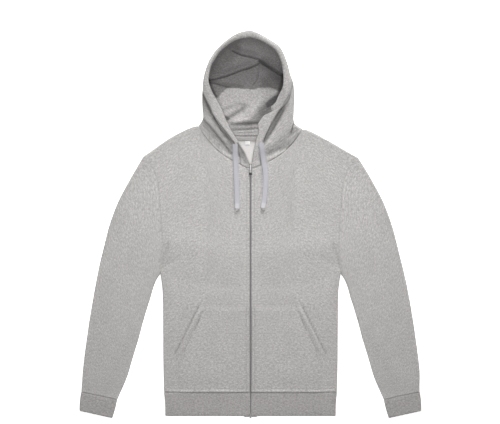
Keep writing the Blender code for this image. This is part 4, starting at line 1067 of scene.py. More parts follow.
def cuffs():
    plan = arm_points(CUFF, CUFF_FOLD, CUFF_UNDER, CUFF_DOWN / CUFF_LENGTH)
    ring = closed(arm_ring(plan, 1, 0.0, False))
    around = arc_lengths(ring[3])[-1]
    count = round(around / RIB_PITCH) * RIB_COLUMNS
    points = np.stack([even_columns(line, count, ring=True) for line in ring])
    points = ribbed(points, grid_normals(points, ring=True), around, CUFF_DOWN, CUFF_LENGTH,
                    dive=0.0007, drop=0.0014)
    for side, letter in SIDES:
        shell("cuff_" + letter, points * (side, 1.0, 1.0), "rib", flip=side < 0, ring=True)


# ---------------------------------------------------------------- pockets
POCKET_SIZE = (0.165, 0.2205)
POCKET_CORNER_SHARE = 0.46     # of the outer edge, where the side turns into the slant
POCKET_HEM = 0.0140            # the slanted opening's turned hem
POCKET_STITCH = 0.0034
POCKET_ZIP_STITCH = ZIP_STITCH - 0.0020
POCKET_LIFT = 0.0014           # how far the open slanted edge stands off the front
POCKET_STOPS = [0.0, 0.0005, 0.0012, 0.0024, POCKET_STITCH, 0.0044, 0.0070, 0.0100]
SLANT_STOPS = POCKET_STOPS + [0.0128, POCKET_HEM, 0.0152, 0.0180]
BARTACK_STEP, BARTACK_REACH = 0.0006, 0.0022


def pockets():
    slant_line = np.array([POCKET_SIDE_CORNER, POCKET_TOP_CORNER])
    low_front, top_front = (POCKET_FRONT_X, HEM_SEAM_Y), (POCKET_FRONT_X, POCKET_TOP_Y)
    low_side = (POCKET_SIDE_X, HEM_SEAM_Y)
    outer = joined(straight(low_side, POCKET_SIDE_CORNER), POCKET_CORNER_SHARE, straight(*slant_line))
    width, height = POCKET_SIZE
    plan = coons(straight(low_front, low_side), straight(top_front, POCKET_TOP_CORNER),
                 straight(low_front, top_front), outer,
                 stops(width, np.array(ZIP_STOPS) * 0.9, SLANT_STOPS, STEP),
                 stops(height, SEAM_STOPS, POCKET_STOPS, STEP))
    from_hem, from_top, from_zip, from_side = grid_distances(plan)
    from_slant = polyline_distance(plan, slant_line)
    on_slant = smoothstep(plan[..., 1], POCKET_SIDE_CORNER[1] - 0.006, POCKET_SIDE_CORNER[1] + 0.006)
    detail = seam_relief(from_top, 0.0, POCKET_STITCH, 0.0002) - 0.0015 * hill(from_top, 0.0, 0.008)
    detail += hem_ridge(from_hem) - 0.0013 * hill(from_hem, 0.0, 0.030)
    detail += seam_relief(from_zip, 0.0004, POCKET_ZIP_STITCH)
    detail += (seam_relief(from_side, 0.0, POCKET_STITCH)
               - 0.0016 * hill(from_side, 0.0, 0.006)) * (1 - on_slant)
    groove = hill(from_slant, POCKET_HEM, 0.0010) + 0.8 * hill(from_slant, POCKET_HEM - 0.0030, 0.0010)
    puff = hill(from_slant, POCKET_HEM / 2 - 0.0010, 0.0045)
    detail += (0.0012 * puff - 0.0005 * groove) * on_slant
    from_ends = np.minimum(*(polyline_distance(plan, np.array([end, end])) for end in slant_line))
    detail += POCKET_LIFT * np.clip(from_ends / 0.05, 0, 1) * hill(from_slant, 0.0, 0.016)
    # painted shade in the grooves along the slanted opening's hem
    keeps = dimming(plan, BODY_DIMS + POCKET_CORNER_DIMS) * (1 - 0.28 * groove * on_slant)
    keeps *= stitch_dim(from_zip, POCKET_ZIP_STITCH)
    # painted shade under the pocket's top edge and along its row of stitches
    keeps *= 1 - 0.10 * hill(from_top, 0.0, 0.0020) - 0.06 * hill(from_top, 0.0060, 0.0016)
    top_row = -1 - POCKET_STOPS.index(POCKET_STITCH)
    edge_column, hem_column = (-1 - SLANT_STOPS.index(stop) for stop in (POCKET_STITCH, POCKET_HEM))
    corner = int(np.argmin(np.abs(plan[:, -1, 1] - POCKET_SIDE_CORNER[1])))
    lines, bars = [], []
    for side, letter in SIDES:
        placed = plan * (side, 1.0)
        distance = fold_distance(placed)
        level = laid(1, distance) + top_relief(placed, distance) + SEAM_GAP + POCKET_WALL + detail
        points = lifted(placed, level)
        shell("pocket_" + letter, points, "knit", wall=POCKET_WALL, flip=side < 0, soften=0.15, shade=keeps)
        lines += [line + ON_TOP for line in (
            points[top_row, 4:-3], points[3:corner, edge_column], points[corner - 2:-2, edge_column],
            points[corner - 4:-3, hem_column])]
        for middle in (points[top_row - 3, hem_column], points[corner - 3, edge_column - 3]):
            for k in range(-2, 3):
                bars.append([middle + (side * (k * BARTACK_STEP), reach, 0.0006)
                             for reach in (-BARTACK_REACH, 0.0, BARTACK_REACH)])
    stitches("pocket_stitching", lines)
    stitches("bartacks", bars)


# ---------------------------------------------------------------- hood
SECTION_STEPS = 160
SECTION_CROWDING = 1.6
CUT_STEPS = 500
BEND_WEIGHT = 0.03             # metres that a turn of one radian counts for, where a section is cut
FOOT_SHARE = 0.85
NECK_BLEND = 0.03
HOOD_COLUMNS = 165
BAND_COLUMNS = 16
HOOD_ROWS = 215
BAND_GAP = 0.0004
RIM_EXTRA = 0.0035             # the rim stands out by this, as light takes its outline back
RING_EXTRA = 0.002             # the casing shows this much wider round the crown
RING_PINCH, RING_PINCH_Y = 2.4, 0.345          # and narrower by this share of it where it is gathered
RIM_LIFT = 0.13                # the crown's casing stands this much prouder than its plain form
WALL_DIM = 0.27                # the hood's walls lie in less light than its top
NARROW_ROLL = (0.014, 0.034)   # widths between which the casing's top turns from flat to round
ROUND, SQUARE = 2.0, 4.6       # exponents of the curve that it turns by
EDGE_STEPS = 40                # steps of a section that tell which way it leaves the opening
LEAST_CROSSING = 0.42          # sine of the least angle between a section and the opening's edge
REACH_SMOOTHING = 23           # sections
SEAM_SHIFT = 0.020             # the centre seam lies off centre by this under the crown
NECK_STITCH, NECK_STITCH_X = 0.0024, 0.036     # stitches above the neck seam, and how far out they run
BAND_STITCH_COLUMN = BAND_COLUMNS - 3

# Folds of the back layer, as it shows inside the opening.
HOOD_INSIDE_FOLDS = [
    # slack of the crown, in the shade: each step down catches a dark line
    Fold(((228, 48), (235, 51.5), (241, 54.5), (250, 56.5), (260, 59.5)), 6.0, 18, 2.4),
    Fold(((256, 58.5), (265, 64.5), (273, 69.5), (286, 78.5)), 9.0, 22, 3.0),
    Fold(((262, 66), (272, 74), (284, 86)), -4.0, 5, 16),
    Fold(((205, 81.5), (216, 78.5), (225, 76.2), (233, 73.3), (241, 70), (250, 67.5),
        (262, 62)), 6.0, 18, 2.4),
    Fold(((204, 81), (212, 83), (219, 85.2), (228, 87.8), (236, 89)), -2.5, 3, 3),
    # the lit slack below it stands a little higher
    Fold(((212, 101), (217, 98), (222, 93), (227, 89.4), (240, 89.6), (254, 90.2), (257, 88.6), (269, 88.3),
        (276, 90), (284, 95)), 1.4, 2.2, 30),
    # a dent and a pinch on the left, and the valley beside the casing on the right
    Fold(((224, 117), (231, 111.5), (239, 107.5), (249, 108)), -2.6, 9, 8),
    Fold(((222, 122.5), (229, 118.8), (234, 114.8), (240, 110.3), (246, 106)), 0.8, 6, 3),
    Fold(((254, 124), (260, 115.5), (267, 107), (276, 98.5), (286, 91)), -6.0, 22, 8),
    Fold(((246, 118), (254, 110), (262, 101), (270, 95)), 1.6, 18, 14),
    # ripples above the neck tape
    Fold(((228, 124.5), (238, 123), (250, 122.5), (264, 120.5)), 2.6, 14, 3.6),
    Fold(((231, 129.5), (244, 128.8), (255, 127.2), (264, 125)), 1.8, 4, 2.6),
    Fold(((233, 132.8), (246, 131.8), (260, 130.6)), 1.5, 3, 2.2),
    Fold(((235, 135.5), (247, 135.3), (259, 134.9)), 1.3, 2.6, 1.6),
]
# Folds of the hood's front and sides, outside the casing.
HOOD_OUTSIDE_FOLDS = [
    # left: a valley beside the casing, then the fold over the base
    Fold(((201, 90), (207, 104), (214, 117), (222, 131), (231, 146)), -3.6, 8, 8),
    Fold(((199, 117), (208, 123.5), (214, 129.5), (220, 137.5), (226.5, 146.5), (234, 159)), 2.6, 16, 5),
    # right: a valley beside the casing, and the face that rolls down over the neck seam
    Fold(((293, 88), (286.5, 104), (279, 119), (271, 134), (265, 146)), -4.0, 8, 10),
    Fold(((294, 121), (292.5, 127), (291, 133)), -3.0, 3, 3),
    Fold(((262, 159), (273, 151.8), (284, 149), (293, 145), (297.5, 137), (301, 129)), -2.6, 20, 4),
]
# Painted shade on the hood's inside, with one painted lighter patch in the crown.
INSIDE_DIMS = [
    # the crown, and the dark corner left of the lit slack
    Dim(((200, 84), (209, 81), (219, 85), (228, 87.6), (240, 89), (254, 90), (257, 88.5), (269, 88),
        (276, 89.7), (290, 97), (310, 60), (280, 10), (220, 10), (190, 60)), 0.46, 1.4),
    Dim(((203, 83), (217, 98.5), (222, 93), (227, 89), (228, 87.5), (219, 85), (209, 81)), 0.5, 1.4),
    Dim(((190, 95), (300, 95), (300, 150), (190, 150)), 0.93, 10),
    # painted shade across the crown, darkest at its sides, and a painted lighter patch in its middle
    Dim(((207, 74), (212, 60), (220, 49), (230, 41), (241, 38), (240, 50), (233, 58), (226, 65),
        (214, 75)), 0.82, 8),
    Dim(((241, 44), (256, 45), (267, 57), (262, 62), (247, 66), (234, 66), (233, 59), (241, 52)), 1.14, 6),
    Dim(((206, 79.5), (212, 82), (228, 87), (244, 88.7), (244, 84.5), (222, 82.5), (210, 78.5)), 0.78, 4),
    Dim(((261, 79), (270, 73), (284, 77), (284, 92), (276, 90), (262, 87)), 0.74, 7),
    Dim(((282.5, 75), (282, 83), (279, 91)), 0.5, 3.5, 1.5),
    Dim(((208.5, 80), (211, 88), (216, 97)), 0.52, 3.4, 1.4),
    Dim(((206, 79), (210, 82), (218, 84.5), (228, 87)), 0.72, 3, 1.2),
    # the valley on the right: its dark core beside the casing, and the slack that falls into it
    Dim(((281, 89), (276, 95), (269, 99.5), (265.5, 104), (267, 107.5), (273, 105), (279, 98)), 0.5, 2.6),
    Dim(((268, 103), (262, 107), (258.5, 113), (260, 117), (266, 113), (271, 107)), 0.74, 4),
    Dim(((286, 89), (276, 95), (266, 100.5), (259, 107), (255, 114), (250, 119), (238, 124), (264, 124.5),
        (269, 114), (277, 104), (287, 96)), 0.52, 5),
    # the dent on the left: its two creases and the dark corner at the casing
    Dim(((223.5, 110.5), (231, 107), (240, 104), (247, 106)), 0.7, 4.6, 1.6),
    Dim(((243.5, 105), (244.5, 111)), 0.84, 4, 1.8),
    Dim(((225.7, 119.4), (231, 116.3), (236.5, 112.8), (242.5, 109.2)), 0.5, 4.6, 2),
    Dim(((224.5, 117.5), (228, 119.5)), 0.4, 2.6, 1.4),
    # ripples above the neck tape
    Dim(((222, 120.5), (240, 121.5), (266, 118), (266, 138), (230, 138)), 0.82, 4),
    Dim(((232, 124.8), (245, 124), (258, 121.5)), 0.86, 4, 1.4),
    Dim(((230, 123), (262, 121), (258, 130), (233, 131.5)), 0.86, 3),
    Dim(((232, 130.4), (241, 129), (254, 127.2)), 0.74, 2.8, 1.2),
    Dim(((234, 136.2), (246, 136), (259, 135.2)), 0.64, 1.8, 0.8),
    # lines of the creases
    Dim(((233, 51), (241, 54.6), (250, 56.6), (259, 59.5)), 0.5, 1.2, 0.6),
    Dim(((260, 61), (265, 64.6), (273, 69.7), (285, 77.5)), 0.4, 2, 1.2),
    Dim(((263, 64), (274, 74), (285, 86)), 0.66, 8, 3),
    Dim(((206, 81), (216, 78.7), (225, 76.4), (233, 73.5), (241, 70.2), (250, 67.7),
        (259, 63.6)), 0.46, 1.2, 0.6),
    Dim(((206, 81.5), (213, 83.2), (222, 85.8), (231, 88)), 0.6, 1.6, 0.6),
]
# Painted shade on the hood's outside and its casing.
OUTSIDE_DIMS = [
    # the casing round the crown, darker towards the opening
    Dim(((200, 70), (213, 48), (232, 28), (262, 28), (284, 44), (298, 70), (283, 70), (250, 50),
        (211, 72)), 0.91, 8),
    Dim(((213, 52), (224, 42.5), (237, 35)), 0.86, 4, 2.2),
    Dim(((260, 40), (270, 45), (278, 53)), 0.86, 3, 1.2),
    Dim(((237, 34.5), (246, 33.5), (256, 35)), 0.86, 3, 2.6),
    Dim(((210, 71), (214.5, 58), (221, 48.5), (230, 41.5), (241, 37.5), (252, 37.8), (262, 41.8),
        (272, 47.5), (279, 56), (282, 66)), 0.74, 2.2, 0.9),
    Dim(((208, 83), (210.5, 90), (214.5, 98)), 0.82, 2, 0.6),
    # left of the casing: its dark edge, the valley beside it, and the fold over the base
    Dim(((202.1, 93), (206.8, 104), (211.3, 114.5), (218.4, 124.5), (226.8, 134.5),
        (234.2, 144)), 0.36, 2.2, 1.1),
    Dim(((201.5, 97), (206, 107), (210.3, 117), (217, 127.5), (224.5, 137.5), (232.5, 147)), 0.6, 5.4, 2.3),
    Dim(((214, 120), (225.3, 134.5), (232.5, 144)), 0.6, 3.4, 1.6),
    Dim(((202.5, 120), (210, 127.8), (217.5, 137), (224, 145), (231.5, 154)), 0.5, 2.6, 0.9),
    Dim(((204, 124), (210, 130.5), (216, 137), (222, 143), (230, 151)), 0.9, 5.4, 1.8),
    # right of the casing
    Dim(((292.4, 86.5), (289.4, 93), (286.8, 99), (281.2, 108), (274.6, 119), (268.4, 129.5),
        (263, 141)), 0.55, 1.6, 0.6),
    Dim(((284, 103), (285.2, 108), (280.6, 118), (275.4, 127), (271, 135), (264.5, 143.5), (262, 141),
        (267.4, 130), (273.2, 120), (279.6, 108)), 0.5, 2.8),
    Dim(((276, 123.5), (273.4, 128.5), (270, 133.5)), 0.84, 1.4, 0.5),
    # creases where the casing is gathered
    Dim(((271.5, 111.5), (275, 107.5)), 0.84, 1.8, 0.5),
    Dim(((266, 119.5), (270.5, 122.5)), 0.88, 1.8, 0.5),
    Dim(((273, 104), (276, 104.5)), 0.9, 2, 0.6),
    Dim(((289, 96), (285, 105), (280, 117), (274, 129)), 0.88, 6, 2),
    Dim(((293.3, 123), (292.3, 128), (291.2, 132)), 0.36, 1.8, 0.6),
    Dim(((301, 130), (297, 138), (293.5, 146.5), (284, 149.5), (275, 152), (265.5, 158), (266, 152),
        (275, 147), (284, 142), (292, 137)), 0.72, 4),
    # the left front corner turns under
    Dim(((237.6, 142.6), (240.6, 146.4), (245, 153.5), (250, 162.8), (246, 162.5), (241.5, 158.5),
        (237.6, 155)), 0.66, 3),
    Dim(((238.2, 144.3), (240.6, 148.4), (244, 154.0)), 0.56, 2.6, 1),
    Dim(((258.8, 147), (259.6, 156), (261, 163)), 0.76, 2.2, 0.6),
    Dim(((258.8, 142.5), (259.0, 148.5)), 0.68, 1.8, 0.6),
    Dim(((237.4, 143.5), (238.3, 148), (238.8, 154)), 0.66, 1.6, 0.6),
]
# painted shadow of the hood's base across the top of the brushed back, inside the neck
NECK_DIMS = [Dim(((236, 141), (256, 141.4)), 0.76, 3.4, 1.5)]


def dense_rows(table):
    """The table's rows blended into HOOD_ROWS, evenly along the rim."""
    curve = smooth_path([row[2:4] + row for row in table])
    rows = []
    for values in curve(np.linspace(0, 1, HOOD_ROWS)):
        row = HoodRow(*values[2:])
        crown = smoothstep(row.rise, 0.028, 0.048)
        edge, rim = np.array([row.edge_x, row.edge_y]), np.array([row.rim_x, row.rim_y])
        outward = (rim - edge) / np.linalg.norm(edge - rim) * crown
        edge = edge - outward * RING_EXTRA * (1 - RING_PINCH * hill(row.rim_y, RING_PINCH_Y, 0.030))
        rim = rim + outward * RIM_EXTRA * hill(row.rim_x, 0.0, 0.022)
        lift = 1 + RIM_LIFT * crown
        rows.append(HoodRow(*edge, *rim, row.back_y, row.rise * lift, row.lip * lift, *values[-2:]))
    return rows


def as_seen(points):
    """Draws high points to the picture's middle, as the camera would else see them too far out."""
    share = np.maximum(points[..., 2:] - LAID_HEIGHT, 0.0) / CAMERA_HEIGHT
    return lifted(points[..., :2] - (points[..., :2] - PICTURE_MIDDLE) * share, points[..., 2])


def hood_section(row, side):
    """Outer surface along one row, from the opening over the rim to the centre seam beneath."""
    edge, rim = np.array([row.edge_x, row.edge_y]), np.array([row.rim_x, row.rim_y])
    back = np.array([0.0, row.back_y])
    over = bent(rim, (edge + rim) / 2 + (row.bend_x, row.bend_y), edge)
    neck_drop = max(0.0, 1 - (row.back_y - BACK_NECK_Y) / NECK_BLEND)
    middle = (rim + back) / 2
    pull = middle + (np.array([side * BACK_NECK_PULL[0], BACK_NECK_PULL[1]]) - middle) * neck_drop
    under = bent(rim, pull, back)
    width = np.linalg.norm(edge - rim)
    roll = min(row.rise / 2, width)
    squareness = SQUARE - (SQUARE - ROUND) * smoothstep(width, *NARROW_ROLL)
    even = np.linspace(0, 1, SECTION_STEPS + 1)
    share = (1 - even) ** SECTION_CROWDING
    reach = share * width
    inset = 1 - np.minimum(reach / roll, 1)
    rounded = row.rise / 2 * (1 + np.maximum(1 - inset ** squareness, 0) ** (1 / squareness))
    fall = np.clip((reach - roll) / max(width - roll, 1e-6), 0, 1)
    level = np.where(reach < roll, rounded, row.rise + (row.lip - row.rise) * fall ** 2 * (3 - 2 * fall))
    first = lifted(over(share), level)
    share = even[1:] ** SECTION_CROWDING
    depth, foot = np.linalg.norm(back - rim), FOOT_SHARE * row.rise / 2
    inset = np.maximum(1 - share * depth / foot, 0.0)
    level = row.rise / 2 * (1 - np.sqrt(np.maximum(1 - inset ** 2, 0.0)))
    return np.concatenate([first, lifted(under(share), level)])


def cut(points, start, end, count):
    """count + 1 points along a section between two arc lengths, closer where it turns."""
    lengths = arc_lengths(points)
    fine = on_line(points, lengths, np.linspace(start, lengths[-1] if end is None else end, CUT_STEPS))
    run = np.diff(fine, axis=0)
    size = np.linalg.norm(run, axis=1)
    cosine = (run[1:] * run[:-1]).sum(1) / np.maximum(size[1:] * size[:-1], 1e-15)
    turn = np.concatenate([[0.0], np.arccos(np.clip(cosine, -1, 1))])
    weight = np.concatenate([[0.0], np.cumsum(size + BEND_WEIGHT * np.minimum(turn, 0.1))])
    return on_line(fine, weight, np.linspace(0, weight[-1], count + 1))


def hood_relief(points):
    """The hood half with its folds, and what each point keeps of its colour under painted shade and light,
    outside and inside.
    """
    plan = points[..., :2].copy()
    x, y = plan[..., 0], plan[..., 1]
    past_rim = np.arange(points.shape[1])[None] - np.argmax(np.abs(x) + 0.3 * y, axis=1)[:, None]
    under = smoothstep(past_rim, 6.0, 24.0)
    over = 1 - smoothstep(past_rim, -24.0, -6.0)
    moved = points.copy()
    shift = SEAM_SHIFT * smoothstep(y, 0.335, 0.372) * smoothstep(0.44 - y, 0.0, 0.03)
    moved[..., 0] += under * shift * np.clip(1 - np.abs(x) / 0.085, 0, 1)
    moved[..., 2] += under * np.maximum(fold_relief(moved[..., :2], HOOD_INSIDE_FOLDS), -points[..., 2])
    moved[..., 2] += over * fold_relief(plan, HOOD_OUTSIDE_FOLDS)
    return (moved, 1 - (1 - dimming(plan, OUTSIDE_DIMS)) * (past_rim <= 0),
            1 - (1 - dimming(moved[..., :2], INSIDE_DIMS)) * (past_rim > 0))


def wall_dim(rising):
    """Painted shade: what cloth keeps of its colour where it faces sideways or down, by its normal's height.
    """
    return 1 - WALL_DIM * smoothstep(0.75 - rising, 0.0, 0.65)


def drawn_in(points, side):
    """The hood's front corners follow the fronts to the middle above the slider."""
    return lifted(closed_at_top(points[..., :2] * (side, 1.0)) * (side, 1.0), points[..., 2])


# where the drawn cord gathers the casing's right edge: picture row, and pixels it moves to the right
GATHER = [(99, 0.0), (103, 0.8), (105, 0.2), (107, -1.4), (109, 0.0), (111.5, 3.2), (113, 1.4), (115.4, -2.0),
          (118, -2.8), (122, -3.2), (124, -3.8), (126, -3.2), (128, -1.8), (131, 0.0), (134, 0.9), (139, 0.0)]


def gathered(points):
    """The casing's right half with its inner edge pinched and bunched by the cord."""
    rows, moves = np.array(GATHER[::-1]).T
    share = 1 - np.linspace(0, 1, points.shape[1])
    moved = points.copy()
    moved[..., 0] += np.interp(points[:, :1, 1], picture_point(0, rows)[1], moves * PIXEL) * share
    return moved


def band_reach(sections):
    """How far along each section the casing runs, for the same width square to its edge."""
    edge, inner = (np.array([section[k, :2] for section in sections]) for k in (0, EDGE_STEPS))
    along, onward = np.gradient(edge, axis=0), inner - edge
    crossing = np.abs(along[:, 0] * onward[:, 1] - along[:, 1] * onward[:, 0])
    crossing /= np.linalg.norm(along, axis=1) * np.linalg.norm(onward, axis=1)
    oblique = 1 / np.maximum(crossing, LEAST_CROSSING) - 1
    oblique *= between(edge[:, 1], (0.175, 0.235), (0.33, 0.37))
    kernel = np.hanning(REACH_SMOOTHING)[1:-1]
    padded = np.pad(oblique, len(kernel) // 2, mode="edge")
    return BAND_WIDTH * (1 + np.convolve(padded, kernel / kernel.sum(), mode="valid"))


def hood():
    band_halves, threads = {}, []
    for (side, letter), table in zip(SIDES, (HOOD_LEFT, HOOD_RIGHT)):
        sections = [hood_section(row, side) for row in dense_rows(table)]
        reaches = band_reach(sections)
        body = np.stack([cut(section, reach + BAND_GAP / 2, None, HOOD_COLUMNS)
                         for section, reach in zip(sections, reaches)])
        body[0, :, 1] += SEAM_GAP * (2 * smoothstep(np.abs(body[0, :, 0]), 0.028, 0.045) - 1)
        points, keeps, inner_keeps = hood_relief(body)
        from_neck, _, from_band, from_centre = grid_distances(body)
        outward = grid_normals(points) * side
        lift = seam_relief(from_band, 0.0008) * smoothstep(body[..., 1], 0.165, 0.195)
        lift += seam_relief(from_neck, 0.0006) * smoothstep(np.abs(body[..., 0]), 0.010, 0.045)
        points = drawn_in(as_seen(points + outward * lift[..., None]), side)
        beside_zip = np.nonzero(np.abs(points[0, :, 0]) < NECK_STITCH_X)[0]
        row = np.abs(from_neck[:, beside_zip] - NECK_STITCH).argmin(0)
        threads.append(points[row, beside_zip] + (0.0, 0.0, THREAD_RADIUS * 0.6))
        groove = 0.0004 * hill(from_centre, 0.004, 0.002) - 0.0010 * hill(from_centre, 0.0, 0.0012)
        groove *= 0.15 + 0.85 * smoothstep(points[..., 1], 0.325, 0.350)
        shell("hood_" + letter, points, "hood", flip=side < 0, lining="inside", inner_relief=groove,
              shade=keeps * wall_dim(outward[..., 2]), inner_shade=inner_keeps, soften=0.0)
        band_halves[side] = np.stack([cut(section, 0.0, reach - BAND_GAP / 2, BAND_COLUMNS)
                                      for section, reach in zip(sections, reaches)])
    points = np.concatenate([band_halves[-1], band_halves[1][-2::-1]])
    down = np.linspace(0, BAND_WIDTH, BAND_COLUMNS + 1)
    profile = 0.0012 * np.sin(np.pi * np.clip(down / BAND_WIDTH, 0, 1)) ** 0.7
    profile = profile + seam_relief(BAND_WIDTH - down, 0.0006) + seam_relief(down, 0.0005)
    outward = -grid_normals(points)
    keeps = dimming(points[..., :2], OUTSIDE_DIMS) * wall_dim(outward[..., 2])
    points = as_seen(points + outward * profile[None, :, None])
    points = np.concatenate([drawn_in(points[:HOOD_ROWS], -1), gathered(drawn_in(points[HOOD_ROWS:], 1))])
    shell("hood_band", points, "hood", flip=True, lining="inside", shade=keeps)
    row = np.s_[3:-3, BAND_STITCH_COLUMN]
    threads.insert(0, points[row] - grid_normals(points)[row] * THREAD_RADIUS / 2)
    stitches("hood_stitching", threads)


# ---------------------------------------------------------------- neck tape and label
TAPE_HALF_LENGTH, TAPE_HALF_WIDTH, TAPE_WALL = 0.058, 0.004, 0.0008
LABEL_WALL = 0.0005


def neck_trim():
    across = np.linspace(0, 1, 61)
    spot = BACK_NECK(np.abs(2 * across - 1) * TAPE_HALF_LENGTH / NECK_POINT[0])
    offsets = np.linspace(-TAPE_HALF_WIDTH, TAPE_HALF_WIDTH, 9)[:, None]
    rows = np.stack(np.broadcast_arrays(np.copysign(spot[:, 0], across - 0.5), spot[:, 1] + offsets,
                                        CLOTH_WALL + SEAM_GAP + TAPE_WALL), axis=-1)
    shell("neck_tape", rows, "tape", wall=TAPE_WALL)
    x, y, low, high = box_grid("neck_label", 15, 11)
    z = high.z + 0.0003 * ((y - low.y) / (high.y - low.y) - 1) ** 2
    shell("neck_label", np.stack([x, y, z], axis=-1), "label", wall=LABEL_WALL)


def box_grid(node, columns, rows):
    """A plan grid over the node's box, with the box's corners."""
    low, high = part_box(node)
    x, y = np.meshgrid(np.linspace(low.x, high.x, columns), np.linspace(low.y, high.y, rows))
    return x, y, low, high


# ---------------------------------------------------------------- zip
TOOTH_PITCH = 0.0025
TOOTH_TAPER = 0.0003           # how far a tooth's top is drawn in
TOOTH_INNER, TOOTH_OUTER = -0.0006, 0.0019     # from the middle, on the tooth's own side
TOOTH_HALF_LENGTH = 0.00085
BOX_FACES = [(3, 2, 1, 0), (4, 5, 6, 7), (0, 1, 5, 4), (1, 2, 6, 5), (2, 3, 7, 6), (3, 0, 4, 7)]
ZIP_TAPE_WALL = 0.0007


def zip_parts():
    low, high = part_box("zip_chain")
    vertices, faces = [], []
    count = int((high.y - low.y) / TOOTH_PITCH)
    for k in range(count):
        for side, shift in ((-1, 0.0), (1, TOOTH_PITCH / 2)):
            middle = low.y + (k + 0.5) * (high.y - low.y) / count + shift
            left, right = sorted((side * TOOTH_INNER, side * TOOTH_OUTER))
            faces += [[len(vertices) + i for i in face] for face in BOX_FACES]
            for z, taper in ((low.z, 0.0), (high.z, TOOTH_TAPER)):
                near, far = middle - TOOTH_HALF_LENGTH + taper, middle + TOOTH_HALF_LENGTH - taper
                vertices += [(x, y, z) for y, ends in ((near, 1), (far, -1))
                             for x in (left + taper, right - taper)[::ends]]
    sewn(add_mesh("zip_teeth", vertices, faces, ["teeth"], smooth=False), "zip_chain")
    for _, letter in SIDES:
        x, y, low, high = box_grid("zip_tape_" + letter, 8, 200)
        z = high.z + 0.0002 * np.sin((x - low.x) * 2 * math.pi / 0.004)
        shell("zip_tape_" + letter, np.stack([x, y, z], axis=-1), "zip_tape", wall=ZIP_TAPE_WALL)
    for name, kind in (("zip_slider", "slider"), ("zip_bottom_stop", "metal"), ("zip_pull", "pull")):
        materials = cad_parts[name].data.materials
        materials.clear()
        materials.append(GREY[kind])


# ---------------------------------------------------------------- drawcords
CORD_WIDTH = 0.0128
CORD_THICKNESS = 0.0034
CORD_STEPS = 260
CORD_SIDES = 36
CORD_AROUND = 0.028            # metres round the cord, for its cloth places
TURNED = [0, 3, 2, 1]          # the other way round a cell's corners
STRAND = 0.0024                # pitch of the braid along the cord
TIP_SIDES = 40
TIP_LENGTH = 0.0135
TIP_OVERLAP = 0.0004           # of the binding over the cord
# (along, size) shares of the binding's outline: a lip, two turns of binding and a rounded end
TIP_OUTLINE = [(0.0, 0.90), (0.02, 1.0), (0.07, 1.03), (0.12, 1.0), (0.16, 0.965), (0.20, 1.0),
               (0.27, 1.03), (0.33, 1.0), (0.38, 0.965), (0.43, 1.0), (0.60, 1.03), (0.80, 1.03),
               (0.92, 1.0), (0.97, 0.93), (1.0, 0.80), (1.0, 0.55)]
# the cord's cut end: (metres past the binding, size, share of the lean)
CUT_OUTLINE = [(-0.0008, 0.80, 0.0), (0.0036, 0.74, 1.0), (0.0060, 0.60, 1.0), (0.0066, 0.34, 1.0)]


def level_and_up(run):
    """The directions across a run, level and square to both."""
    level = unit(np.cross(run, UP))
    return level, np.cross(level, run)


def boxy(wave, power):
    """A sine's or cosine's values, squared off for a rounded oblong."""
    return np.sign(wave) * np.abs(wave) ** power


def cord(route, name):
    line = smooth_path(route)(np.linspace(0, 1, CORD_STEPS))
    length = arc_lengths(line)[-1]
    level, up = level_and_up(unit(np.gradient(line, axis=0)))
    angle = np.linspace(0, 2 * math.pi, CORD_SIDES, endpoint=False)
    reach = np.linspace(0, length, CORD_STEPS)[:, None]
    wide = np.cos(angle)[None]
    plait = np.sin(2 * math.pi * (reach / STRAND + np.abs(wide) * 1.2)) * np.sin(4 * math.pi * wide)
    bulge = 1 + 0.05 * np.where(np.abs(wide) < 0.97, plait, 0.0)
    half_thick = CORD_THICKNESS / 2 * boxy(np.sin(angle), 0.8) * bulge
    body = (line[:, None] + level[:, None] * (CORD_WIDTH / 2 * boxy(wide, 0.8))[..., None]
            + up[:, None] * half_thick[..., None])
    first, last = (line[k] + (body[k] - line[k]) * 0.25 for k in (0, -1))
    body = np.concatenate([first[None], body, last[None]])
    index = np.arange(body[..., 0].size).reshape(body.shape[:2])
    quads = quads_of(closed(index))[..., TURNED].reshape(-1, 4)
    places = np.stack(np.meshgrid(np.linspace(0, CORD_AROUND, CORD_SIDES + 1),
                                  np.linspace(0, length, len(body))), axis=-1)
    uv = np.zeros((quads.size + 2 * CORD_SIDES, 2))
    uv[:quads.size] = quads_of(places)[:, :, TURNED].reshape(-1, 2)
    caps = [index[0].tolist(), index[-1][::-1].tolist()]
    return add_mesh(name, body.reshape(-1, 3), quads.tolist() + caps, ["cord"], uv=uv), line, length


